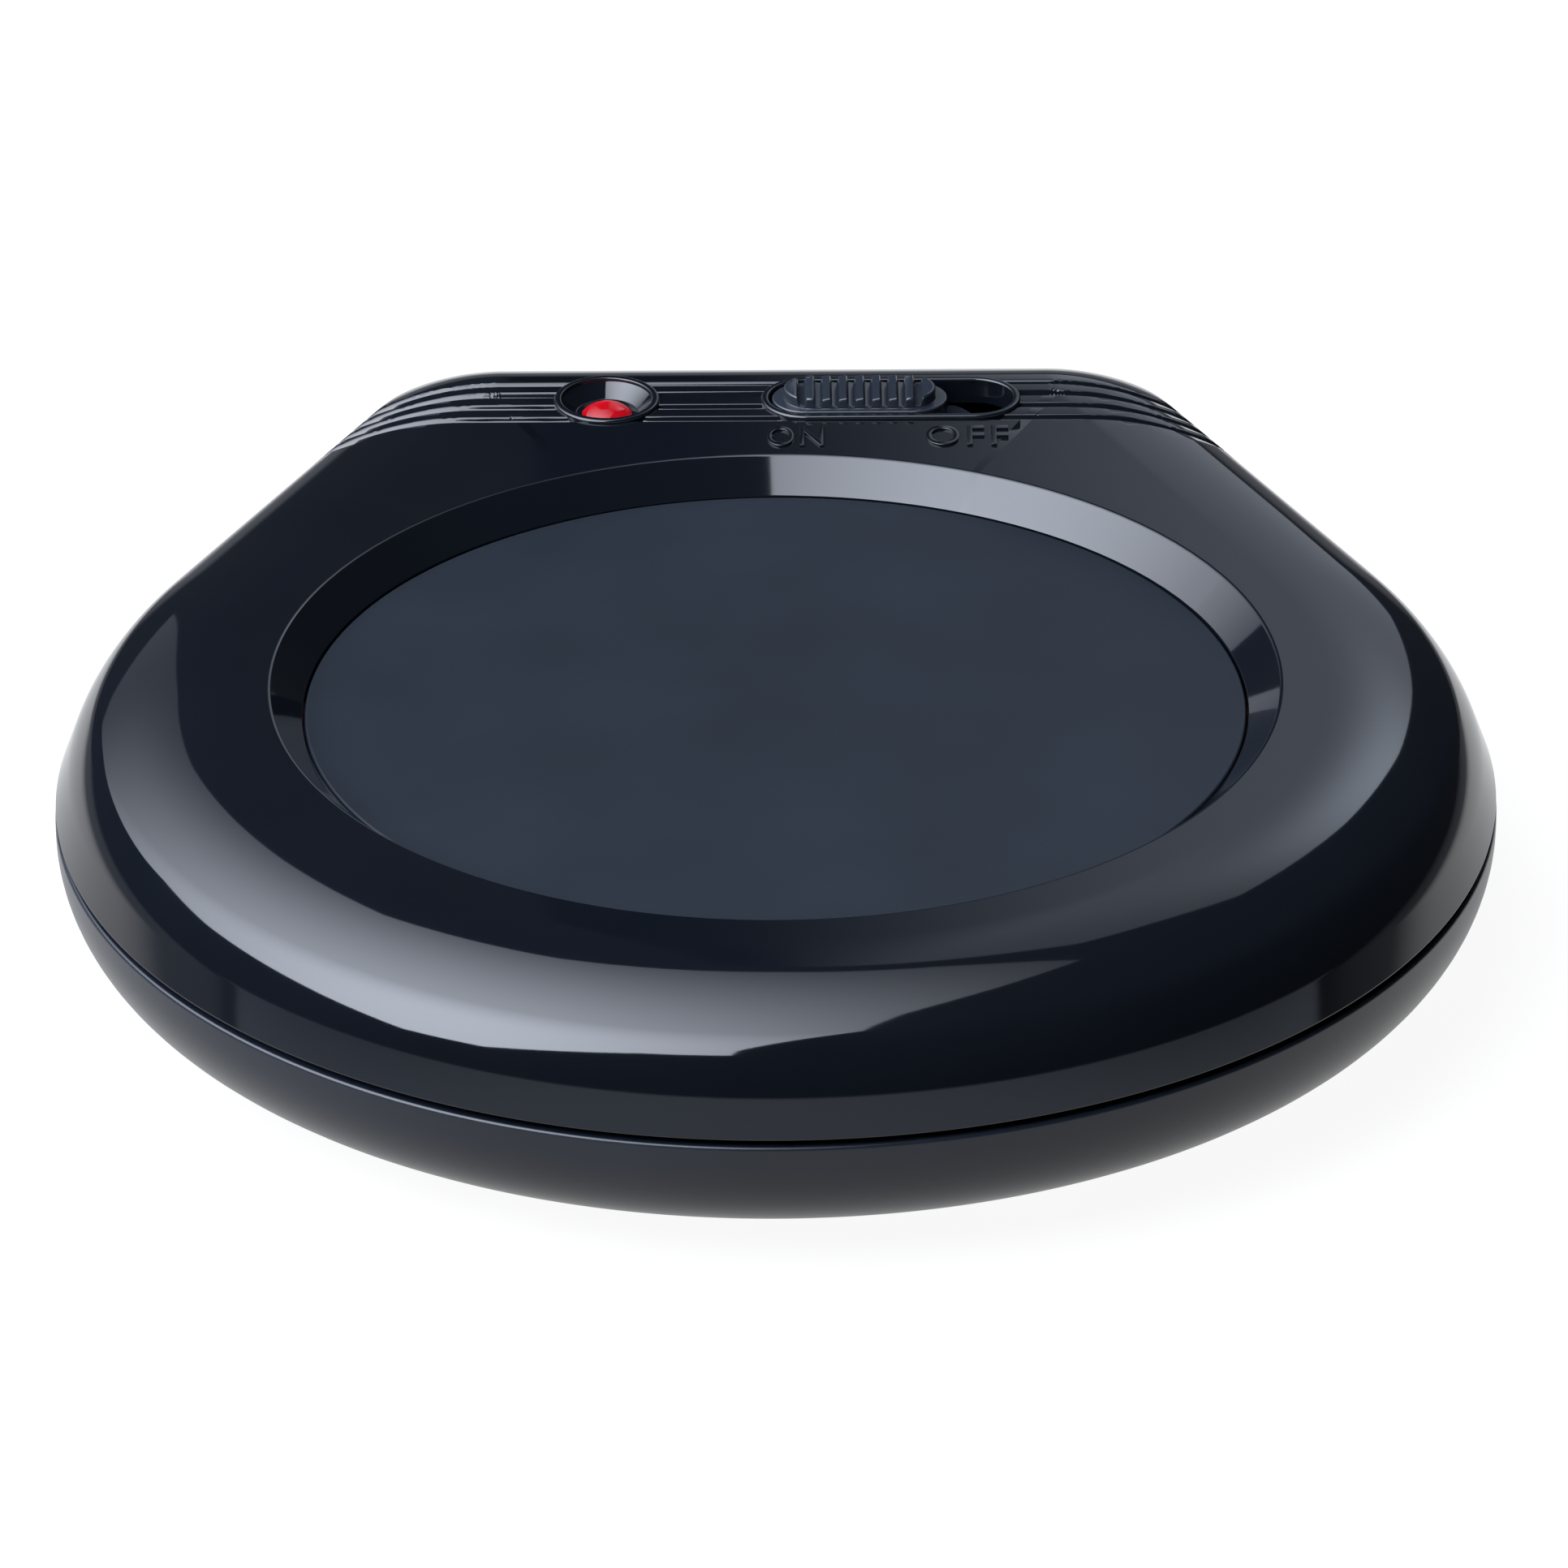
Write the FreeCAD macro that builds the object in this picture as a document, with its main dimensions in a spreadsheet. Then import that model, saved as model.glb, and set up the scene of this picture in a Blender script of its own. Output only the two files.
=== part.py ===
import FreeCAD, Part
import math
import os
import re

import Sketcher
from FreeCAD import Placement, Rotation, Vector

# Electric mug warmer: a low round housing with a flattened, narrower back.
# Every sub-part is drawn about the heating plate's axis, with z = 0 at the table,
# +Y towards the back with the switch, and +X to the right seen from the front.
# Lengths are millimetres.

DIMENSIONS = [
    # plan outline of the housing at the lip
    ("flange_radius", 66.3, "outer radius of the round front half"),
    ("rear_reach", 75.6, "plate axis to the flat back"),
    ("side_taper", 26.0, "angle of each straight side to the length, degrees"),
    ("corner_radius", 17.0, "rounded back corners"),
    # heights
    ("foot_stand", 3.4, "height of the feet below the base"),
    ("base_height", 11.3, "underside of the base to its rim"),
    ("seam_gap", 0.65, "shadow gap between base and cover"),
    ("cover_height", 11.15, "lower edge of the cover to its flat ring"),
    # cover section
    ("wall", 2.2, "thickness of the cover"),
    ("shoulder_run", 13.5, "width of the rounded shoulder"),
    ("shoulder_drop", 6.9, "height of the rounded shoulder"),
    ("tuck_radius", 4.5, "small radius where the shoulder turns down"),
    ("lip_flare", 2.35, "how far the lip stands out from the skirt"),
    ("lip_rise", 4.1, "height of the flared lip"),
    ("lip_edge", 0.4, "upright edge of the lip"),
    ("skirt_drop", 3.0, "depth that the skirt reaches into the base"),
    ("skirt_clearance", 0.3, "gap between skirt and base wall"),
    # recess and heating plate
    ("recess_radius", 46.35, "rim of the round recess"),
    ("opening_radius", 43.4, "opening around the plate"),
    ("recess_depth", 2.95, "flat ring to the plate's face"),
    ("collar_depth", 4.2, "flat ring to the underside of the collar"),
    ("collar_width", 2.65, "collar outside the recess rim"),
    ("plate_clearance", 0.2, "gap around the plate"),
    ("plate_sheet", 1.4, "thickness of the pressed plate"),
    ("plate_flange_radius", 48.6, "outer radius of the plate's flange"),
    ("seal_thickness", 0.8, "seal between collar and flange"),
    ("seal_width", 3.8, "radial width of the seal"),
    # heater stack under the plate
    ("stack_clearance", 1.3, "heater sheets and insulation to the plate's wall"),
    ("mica_thickness", 0.3, "each mica sheet"),
    ("heater_thickness", 0.6, "wound heater card"),
    ("pad_thickness", 3.0, "insulation pad"),
    ("dish_clearance", 0.5, "insulation to the clamp plate's wall"),
    ("clamp_sheet", 0.8, "thickness of the steel clamp plate"),
    ("clamp_rim_radius", 49.0, "rim of the clamp plate"),
    ("ear_centre", 53.0, "clamp screws from the plate axis"),
    ("ear_radius", 4.0, "rounded ears of the clamp plate"),
    ("boss_radius", 3.1, "clamp screw bosses under the cover"),
    ("switch_boss_radius", 2.8, "switch screw bosses under the cover"),
    ("clamp_screw_radius", 1.45, "shank of a clamp screw"),
    ("clamp_screw_length", 5.4, "shank of a clamp screw"),
    ("pan_head_radius", 2.7, "head of a small screw"),
    ("pan_head_height", 1.7, "head of a small screw"),
    ("hole_clearance", 0.25, "clearance holes around screws"),
    ("thread_clearance", 0.03, "pilot holes around threads"),
    ("tab_spread", 12.0, "heater tabs either side of the middle"),
    ("tab_reach", 20.0, "heater tabs in front of the axis"),
    ("tab_width", 4.0, "heater tab"),
    ("tab_thickness", 0.8, "heater tab"),
    ("tab_length", 4.0, "heater tab below the clamp plate"),
    ("tab_hole_radius", 3.2, "holes that let the tabs through"),
    # thermal fuse
    ("fuse_radius", 2.0, "thermal fuse in its sleeve"),
    ("fuse_length", 14.0, "thermal fuse in its sleeve"),
    ("fuse_reach", 14.0, "fuse behind the plate axis"),
    ("clip_sheet", 0.6, "strap over the fuse"),
    ("clip_width", 6.0, "strap over the fuse"),
    ("clip_foot", 5.0, "flat foot of the strap"),
    ("rivet_radius", 1.2, "rivets of the strap"),
    ("rivet_head", 2.1, "head of a rivet"),
    # base
    ("base_wall", 2.2, "thickness of the base"),
    ("base_round", 10.0, "rounded lower edge of the base"),
    ("rim_radius", 0.4, "softened upper rim of the base"),
    ("front_post_x", 22.0, "front screw posts"),
    ("front_post_y", -48.5, "front screw posts"),
    ("rear_post_x", 38.5, "rear screw posts"),
    ("rear_post_y", 43.0, "rear screw posts"),
    ("post_radius", 4.2, "screw posts of the base"),
    ("post_height", 9.4, "underside of the base to the posts' tops"),
    ("screw_radius", 1.6, "shank of a base screw"),
    ("screw_length", 12.0, "shank of a base screw"),
    ("screw_head_radius", 3.0, "head of a base screw"),
    ("screw_head_height", 2.1, "head of a base screw"),
    ("screw_sink", 3.2, "depth of the counterbore"),
    ("drive_radius", 1.3, "cross recess in a screw head"),
    ("drive_width", 0.7, "cross recess in a screw head"),
    ("drive_depth", 0.9, "cross recess in a screw head"),
    # feet
    ("front_foot_x", 34.0, "front feet"),
    ("front_foot_y", -34.0, "front feet"),
    ("rear_foot_x", 30.0, "rear feet"),
    ("rear_foot_y", 52.0, "rear feet"),
    ("foot_radius", 5.0, "rubber foot"),
    ("foot_seat", 1.2, "depth of the foot's seat"),
    ("foot_round", 0.7, "rounded edge of a foot"),
    # ribbed band
    ("groove_pitch", 2.66, "front to back spacing of the grooves"),
    ("groove_width", 1.1, "width of a groove"),
    ("groove_depth", 0.5, "depth of a groove"),
    ("band_start", 54.2, "first groove from the plate axis"),
    ("groove_count", 4, "grooves across the back"),
    # slide switch
    ("switch_x", 11.25, "centre of the switch slot"),
    ("switch_y", 58.2, "centre of the switch slot"),
    ("slot_length", 23.5, "clear length of the slot"),
    ("slot_width", 7.4, "clear width of the slot"),
    ("bezel_width", 0.75, "raised rim around slot and lamp dish"),
    ("bezel_rise", 0.35, "raised rim above the cover"),
    ("knob_travel", 6.0, "from ON to OFF"),
    ("knob_length", 16.9, "sliding knob"),
    ("knob_width", 6.6, "sliding knob"),
    ("knob_rise", 0.3, "ledge of the knob above the cover"),
    ("grip_length", 14.6, "ribbed crown"),
    ("grip_width", 5.4, "ribbed crown"),
    ("grip_height", 1.1, "ribbed crown above the ledge"),
    ("rib_pitch", 1.6, "spacing of the ribs"),
    ("rib_gap", 0.8, "valley between two ribs"),
    ("rib_depth", 0.9, "depth of a valley"),
    ("rib_valleys", 8, "valleys between the ribs"),
    ("knob_gap", 0.35, "running gap above and below the knob's flange"),
    ("knob_flange_length", 22.6, "flange under the cover"),
    ("knob_flange_width", 9.6, "flange under the cover"),
    ("knob_flange", 1.0, "thickness of the flange"),
    ("stem_length", 3.6, "slider stem along the travel"),
    ("stem_width", 3.0, "slider stem across the travel"),
    ("stem_fit", 0.05, "stem in the knob's socket"),
    ("stem_engage", 2.0, "stem inside the knob"),
    ("slider_length", 8.0, "slider block"),
    ("slider_width", 5.0, "slider block"),
    ("slider_height", 3.2, "slider block"),
    ("frame_sheet", 0.6, "steel frame of the switch"),
    ("frame_width", 9.0, "steel frame of the switch"),
    ("frame_screw_spread", 17.5, "screws either side of the switch centre"),
    ("frame_ear", 3.2, "ears of the frame"),
    ("frame_tab_width", 6.0, "folded tabs of the frame"),
    ("frame_tab_drop", 4.2, "folded tabs of the frame"),
    ("switch_length", 19.0, "switch housing"),
    ("switch_width", 8.4, "switch housing"),
    ("switch_floor", 1.2, "floor of the switch housing"),
    ("bridge_length", 7.2, "moving contact"),
    ("bridge_width", 3.0, "moving contact"),
    ("bridge_sheet", 0.5, "moving contact"),
    ("contact_sheet", 0.4, "head of a fixed contact"),
    ("contact_length", 2.6, "head of a fixed contact"),
    ("contact_spread", 2.4, "fixed contacts either side of the ON position"),
    ("pin_thickness", 1.0, "pin of a fixed contact"),
    ("pin_width", 2.0, "pin of a fixed contact"),
    ("pin_drop", 3.6, "pin below the switch housing"),
    # indicator
    ("lamp_x", -16.1, "centre of the indicator"),
    ("lamp_y", 58.2, "centre of the indicator"),
    ("dish_radius", 4.35, "conical dish at the cover"),
    ("dish_floor_radius", 3.0, "floor of the dish"),
    ("dish_depth", 1.3, "depth of the dish"),
    ("lens_radius", 2.4, "red lens"),
    ("lens_dome", 1.0, "height of the lens dome above the dish floor"),
    ("lens_flange_radius", 3.2, "flange that holds the lens from below"),
    ("lens_flange", 0.8, "flange that holds the lens from below"),
    ("tube_radius", 4.4, "lamp tube under the cover"),
    ("tube_drop", 9.6, "ring plane to the end of the lamp tube"),
    ("bulb_radius", 2.2, "neon lamp"),
    ("bulb_length", 6.3, "neon lamp"),
    ("lamp_cap", 1.2, "retaining cap of the lamp tube"),
    ("lead_radius", 0.3, "bare wire ends of lamp and resistor"),
    ("lamp_lead_spread", 0.9, "lamp leads either side of the middle"),
    ("lamp_lead_drop", 1.6, "lamp leads below the cap"),
    ("resistor_radius", 1.2, "lamp resistor"),
    ("resistor_length", 6.4, "lamp resistor"),
    # terminal block
    ("block_x", -5.0, "centre of the terminal block"),
    ("block_y", 58.5, "centre of the terminal block"),
    ("block_length", 16.0, "terminal block, side to side"),
    ("block_width", 9.0, "terminal block, front to back"),
    ("block_height", 7.0, "terminal block"),
    ("way_spread", 4.6, "terminals either side of the block's centre"),
    ("way_radius", 1.5, "wire bores of the block"),
    ("way_height", 3.4, "wire bores above the block's foot"),
    ("block_screw_radius", 1.2, "fixing and clamping screws of the block"),
    ("block_screw_head", 2.1, "head of the block's fixing screw"),
    ("block_head_height", 1.2, "head of the block's fixing screw"),
    ("block_screw_sink", 0.85, "clamping screws above the wire bores' axis"),
    # cord inlet
    ("inlet_x", 0.0, "inlet at the flat back"),
    ("inlet_height", 6.0, "inlet above the underside of the base"),
    ("inlet_bore", 3.1, "bore for the supply lead"),
    ("inlet_neck", 3.9, "neck of the bushing"),
    ("inlet_collar", 4.4, "outer collar of the bushing"),
    ("inlet_collar_length", 1.3, "outer collar of the bushing"),
    ("inlet_pad", 5.2, "thickened pad inside the base around the inlet"),
    ("inlet_flat", 4.75, "flat seat of the bushing's collar, sunk in the back"),
    ("inlet_notch", 0.4, "clearance of the cover's skirt around the inlet pad"),
    ("inlet_pad_inset", 1.7, "flat pad set in from the back edge"),
    ("inlet_pad_depth", 5.0, "pad from front to back"),
    ("inlet_barb", 4.5, "inner collar of the bushing"),
    ("barb_clearance", 0.25, "relief in the floor around the inner collar"),
    # internal leads
    ("wire_radius", 0.8, "insulated lead"),
    ("wire_bend", 2.4, "bend of an insulated lead"),
]

# Levels and places that several sub-parts share.
RIM = "(foot_stand + base_height)"
COVER_LOW = "(foot_stand + base_height + seam_gap)"
RING = "(foot_stand + base_height + seam_gap + cover_height)"
FLOOR = "(foot_stand + base_wall)"
DECK_UNDER = f"({RING} - wall)"
SHOULDER_INSET = "(lip_flare + shoulder_run)"
PLATE_TOP = f"({RING} - recess_depth)"
FLANGE_TOP = f"({RING} - collar_depth - seal_thickness)"
FLANGE_LOW = f"({FLANGE_TOP} - plate_sheet)"
PLATE_RADIUS = "(opening_radius - plate_clearance)"
STACK_TOP = f"({PLATE_TOP} - plate_sheet)"
HEATER_TOP = f"({STACK_TOP} - mica_thickness)"
LOWER_MICA_TOP = f"({HEATER_TOP} - heater_thickness)"
PAD_TOP = f"({LOWER_MICA_TOP} - mica_thickness)"
DISH_TOP = f"({PAD_TOP} - pad_thickness)"
DISH_LOW = f"({DISH_TOP} - clamp_sheet)"
EAR_LOW = f"({FLANGE_LOW} - clamp_sheet)"
POST_TOP = "(foot_stand + post_height)"
KNOB_FLANGE_TOP = f"({DECK_UNDER} - knob_gap)"
KNOB_FLANGE_LOW = f"({KNOB_FLANGE_TOP} - knob_flange)"
FRAME_TOP = f"({KNOB_FLANGE_LOW} - knob_gap)"
FRAME_LOW = f"({FRAME_TOP} - frame_sheet)"
SLIDER_TOP = f"({FRAME_LOW} - knob_gap)"
SLIDER_LOW = f"({SLIDER_TOP} - slider_height)"
BRIDGE_LOW = f"({SLIDER_LOW} - bridge_sheet)"
SWITCH_FLOOR = f"({BRIDGE_LOW} - knob_gap - contact_sheet)"
SWITCH_LOW = f"({SWITCH_FLOOR} - switch_floor)"
PIN_LOW = f"({SWITCH_LOW} - pin_drop)"
KNOB_X = "(switch_x - knob_travel / 2)"
LENS_FLOOR = f"({RING} - dish_depth)"
LENS_SEAT = f"({DECK_UNDER} - lens_flange)"
TUBE_LOW = f"({RING} - tube_drop)"
CAP_LOW = f"({TUBE_LOW} - lamp_cap)"
INLET_Z = "(foot_stand + inlet_height)"
PAD_FACE = "(rear_reach - inlet_pad_inset)"
STACK_RADIUS = "(opening_radius - plate_clearance - plate_sheet - stack_clearance)"
AXIS_Y = "((flange_radius - rear_reach) / 2)"

NAMES = [name for name, size, note in DIMENSIONS]
WORDS = re.compile(r"\b(" + "|".join(NAMES) + r")\b")

doc = FreeCAD.newDocument("mug_warmer")
sheet = doc.addObject("Spreadsheet::Sheet", "dims")
for row, (name, size, note) in enumerate(DIMENSIONS, 1):
    sheet.set(f"A{row}", name)
    sheet.set(f"B{row}", str(size))
    sheet.set(f"C{row}", note)
    sheet.setAlias(f"B{row}", name)
doc.recompute()

subparts = []


def bound(text):
    """The expression with each dimension read from the sheet."""
    return WORDS.sub(r"dims.\1", text)


def value(text):
    """The expression's present value, in millimetres or degrees."""
    result = sheet.evalExpression(bound(text))
    return float(getattr(result, "Value", result))


def bind(item, prop, text):
    item.setExpression(prop, bound(text))


def finish(item, name):
    """Names a finished sub-part and sets the plate axis in the housing's own frame."""
    item.Label = name
    bind(item, "Placement.Base.y", AXIS_Y)
    subparts.append(item)
    return item


# Part primitives, placed by expressions.


def put(item, x, y, z):
    bind(item, "Placement.Base.x", x)
    bind(item, "Placement.Base.y", y)
    bind(item, "Placement.Base.z", z)
    return item


def cylinder(name, radius, height, x="0", y="0", z="0"):
    item = doc.addObject("Part::Cylinder", name)
    bind(item, "Radius", radius)
    bind(item, "Height", height)
    return put(item, x, y, z)


def rod(name, radius, length, x, y, z, axis):
    """A cylinder along X or along Y, from its low end."""
    item = cylinder(name, radius, length, x, y, z)
    turn = Rotation(Vector(0, 1, 0), 90) if axis == "X" else Rotation(Vector(1, 0, 0), -90)
    item.Placement = Placement(item.Placement.Base, turn)
    return put(item, x, y, z)


def cone(name, low, high, height, x, y, z):
    item = doc.addObject("Part::Cone", name)
    bind(item, "Radius1", low)
    bind(item, "Radius2", high)
    bind(item, "Height", height)
    return put(item, x, y, z)


def box(name, length, width, height, x, y, z):
    """A box centred on x and y, standing on z."""
    item = doc.addObject("Part::Box", name)
    bind(item, "Length", length)
    bind(item, "Width", width)
    bind(item, "Height", height)
    return put(item, f"({x}) - ({length}) / 2", f"({y}) - ({width}) / 2", z)


def fuse(name, shapes):
    item = doc.addObject("Part::MultiFuse", name)
    item.Shapes = shapes
    item.Refine = False
    return item


def cut(name, base, tools):
    item = doc.addObject("Part::Cut", name)
    item.Base = base
    item.Tool = tools[0] if len(tools) == 1 else fuse(name + "_tools", tools)
    item.Refine = False
    return item


def group(name, shapes):
    """Identical separate pieces that share one node."""
    item = doc.addObject("Part::Compound", name)
    item.Links = shapes
    return item


# Bodies and sketches.


def new_body(name):
    return doc.addObject("PartDesign::Body", name + "_body")


def sketch_on(body, name, role="XY_Plane", height="0"):
    item = body.newObject("Sketcher::SketchObject", name)
    flat = next(f for f in body.Origin.OriginFeatures if f.Role == role)
    item.AttachmentSupport = [(flat, "")]
    item.MapMode = "FlatFace"
    bind(item, "AttachmentOffset.Base.z", height)
    doc.recompute()
    return item


def datum(sketch, kind, refs, text, unit=""):
    """A driving constraint whose value is an expression of the sheet."""
    number = value(text)
    if unit:
        number = math.radians(number)
    index = sketch.addConstraint(Sketcher.Constraint(kind, *refs, number))
    name = f"size{index}"
    sketch.renameConstraint(index, name)
    bind(sketch, "Constraints." + name, f"({text}){unit}")


def locate(sketch, geometry, point, x, y):
    """Holds one point of the sketch at x, y."""
    datum(sketch, "DistanceX", (-1, 1, geometry, point), x)
    datum(sketch, "DistanceY", (-1, 1, geometry, point), y)


def vector(x, y):
    return Vector(value(x), value(y), 0)


def line(sketch, start, end):
    return sketch.addGeometry(Part.LineSegment(start, end))


def arc(sketch, centre, radius, start, end):
    circle = Part.Circle(centre, Vector(0, 0, 1), radius)
    return sketch.addGeometry(Part.ArcOfCircle(circle, start, end))


def on_circle(centre, radius, angle):
    return centre + Vector(radius * math.cos(angle), radius * math.sin(angle), 0)


def polygon(sketch, corners):
    """A closed outline through corners given as pairs of expressions."""
    points = [vector(x, y) for x, y in corners]
    edges = []
    for index, point in enumerate(points):
        edges.append(line(sketch, point, points[(index + 1) % len(points)]))
    for index, edge in enumerate(edges):
        following = edges[(index + 1) % len(edges)]
        sketch.addConstraint(Sketcher.Constraint("Coincident", edge, 2, following, 1))
    for edge, (x, y) in zip(edges, corners):
        locate(sketch, edge, 1, x, y)
    doc.recompute()
    return sketch


def circle(sketch, radius, x="0", y="0"):
    shape = Part.Circle(vector(x, y), Vector(0, 0, 1), value(radius))
    index = sketch.addGeometry(shape)
    locate(sketch, index, 3, x, y)
    datum(sketch, "Radius", (index,), radius)
    doc.recompute()
    return sketch


def stadium(sketch, length, width, x="0", y="0"):
    """A slot shape along X, its length measured over the rounded ends."""
    radius = f"(({width}) / 2)"
    reach = f"(({length}) / 2 - {radius})"
    size = value(radius)
    right = vector(f"({x}) + {reach}", y)
    left = vector(f"({x}) - {reach}", y)
    up = Vector(0, size, 0)
    low = line(sketch, left - up, right - up)
    east = arc(sketch, right, size, -math.pi / 2, math.pi / 2)
    high = line(sketch, right + up, left + up)
    west = arc(sketch, left, size, math.pi / 2, 3 * math.pi / 2)
    for first, second in ((low, east), (east, high), (high, west), (west, low)):
        sketch.addConstraint(Sketcher.Constraint("Tangent", first, 2, second, 1))
    locate(sketch, east, 3, f"({x}) + {reach}", y)
    datum(sketch, "DistanceX", (-1, 1, west, 3), f"({x}) - {reach}")
    datum(sketch, "Radius", (east,), radius)
    doc.recompute()
    return sketch


def outline(sketch, inset):
    """The housing's plan shape, set in from the lip: round front, tapered sides, flat back."""
    reach = value(f"flange_radius - ({inset})")
    back = value(f"rear_reach - ({inset})")
    corner = value(f"corner_radius - ({inset})")
    taper = math.radians(value("side_taper"))
    corner_y = back - corner
    corner_x = (reach - corner - math.sin(taper) * corner_y) / math.cos(taper)
    middle = Vector(0, 0, 0)
    right = Vector(corner_x, corner_y, 0)
    left = Vector(-corner_x, corner_y, 0)
    turn = math.pi - taper
    front_right = arc(sketch, middle, reach, -math.pi / 2, taper)
    side_right = line(sketch, on_circle(middle, reach, taper), on_circle(right, corner, taper))
    corner_right = arc(sketch, right, corner, taper, math.pi / 2)
    rear = line(sketch, Vector(corner_x, back, 0), Vector(-corner_x, back, 0))
    corner_left = arc(sketch, left, corner, math.pi / 2, turn)
    side_left = line(sketch, on_circle(left, corner, turn), on_circle(middle, reach, turn))
    front_left = arc(sketch, middle, reach, turn, 3 * math.pi / 2)
    ring = [front_right, side_right, corner_right, rear, corner_left, side_left, front_left]
    for first, second in zip(ring, ring[1:] + ring[:1]):
        sketch.addConstraint(Sketcher.Constraint("Tangent", first, 2, second, 1))
    sketch.addConstraint(Sketcher.Constraint("Coincident", front_right, 3, -1, 1))
    sketch.addConstraint(Sketcher.Constraint("Coincident", front_left, 3, -1, 1))
    sketch.addConstraint(Sketcher.Constraint("PointOnObject", front_right, 1, -2))
    sketch.addConstraint(Sketcher.Constraint("Symmetric", corner_left, 3, corner_right, 3, -2))
    sketch.addConstraint(Sketcher.Constraint("Equal", corner_left, corner_right))
    datum(sketch, "Radius", (front_right,), f"flange_radius - ({inset})")
    datum(sketch, "Radius", (corner_right,), f"corner_radius - ({inset})")
    datum(sketch, "DistanceY", (-1, 1, rear, 1), f"rear_reach - ({inset})")
    datum(sketch, "Angle", (-1, 1, side_right, 1), "90 + side_taper", " * 1 deg")
    doc.recompute()
    return sketch


def pad(body, name, sketch, length, down=False):
    item = body.newObject("PartDesign::Pad", name)
    item.Profile = sketch
    bind(item, "Length", length)
    item.Reversed = down
    doc.recompute()
    return item


def pocket(body, name, sketch, depth, up=False):
    item = body.newObject("PartDesign::Pocket", name)
    item.Profile = sketch
    bind(item, "Length", depth)
    item.Reversed = up
    doc.recompute()
    return item


def turned(body, name, sketch, cutting=False):
    """A full turn of the sketch about its own upright axis."""
    item = body.newObject("PartDesign::Groove" if cutting else "PartDesign::Revolution", name)
    item.Profile = sketch
    item.ReferenceAxis = (sketch, ["V_Axis"])
    item.Angle = 360
    doc.recompute()
    return item


def edges_where(feature, test):
    """Names of the feature's edges that pass a test on their bounding box."""
    found = []
    for index, edge in enumerate(feature.Shape.Edges, 1):
        if test(edge.BoundBox):
            found.append(f"Edge{index}")
    return found


def soften(body, name, feature, test, radius, kind="PartDesign::Fillet"):
    item = body.newObject(kind, name)
    item.Base = (feature, edges_where(feature, test))
    bind(item, "Radius" if kind.endswith("Fillet") else "Size", radius)
    doc.recompute()
    return item


def level(height):
    """A test for edges that lie flat at one height."""
    place = value(height)
    return lambda b: abs(b.ZMin - place) < 0.001 and abs(b.ZMax - place) < 0.001


# Screws, all with a cross recess.


def screw(name, shank, length, head, head_height, x, y, z, up):
    """A screw whose head sits below (up) or above its shank; z is where head meets shank."""
    if up:
        shank_z, head_z, drive_z = z, f"{z} - ({head_height})", f"{z} - ({head_height})"
    else:
        shank_z, head_z, drive_z = f"{z} - ({length})", z, f"{z} + ({head_height}) - drive_depth"
    body = fuse(name + "_blank", [
        cylinder(name + "_shank", shank, length, x, y, shank_z),
        cylinder(name + "_head", head, head_height, x, y, head_z),
    ])
    slots = [
        box(name + "_slot", "2 * drive_radius", "drive_width", "drive_depth", x, y, drive_z),
        box(name + "_cross", "drive_width", "2 * drive_radius", "drive_depth", x, y, drive_z),
    ]
    return cut(name, body, slots)


# Places of the repeated pieces.
POSTS = {
    "front_left": ("-front_post_x", "front_post_y"),
    "front_right": ("front_post_x", "front_post_y"),
    "rear_left": ("-rear_post_x", "rear_post_y"),
    "rear_right": ("rear_post_x", "rear_post_y"),
}
FEET = {
    "front_left": ("-front_foot_x", "front_foot_y"),
    "front_right": ("front_foot_x", "front_foot_y"),
    "rear_left": ("-rear_foot_x", "rear_foot_y"),
    "rear_right": ("rear_foot_x", "rear_foot_y"),
}
EARS = {
    "front": ("0", "-ear_centre"),
    "left": ("-ear_centre * cos(30 deg)", "ear_centre * sin(30 deg)"),
    "right": ("ear_centre * cos(30 deg)", "ear_centre * sin(30 deg)"),
}
SWITCH_EARS = {
    "left": ("switch_x - frame_screw_spread", "switch_y"),
    "right": ("switch_x + frame_screw_spread", "switch_y"),
}


# The cover.


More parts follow.
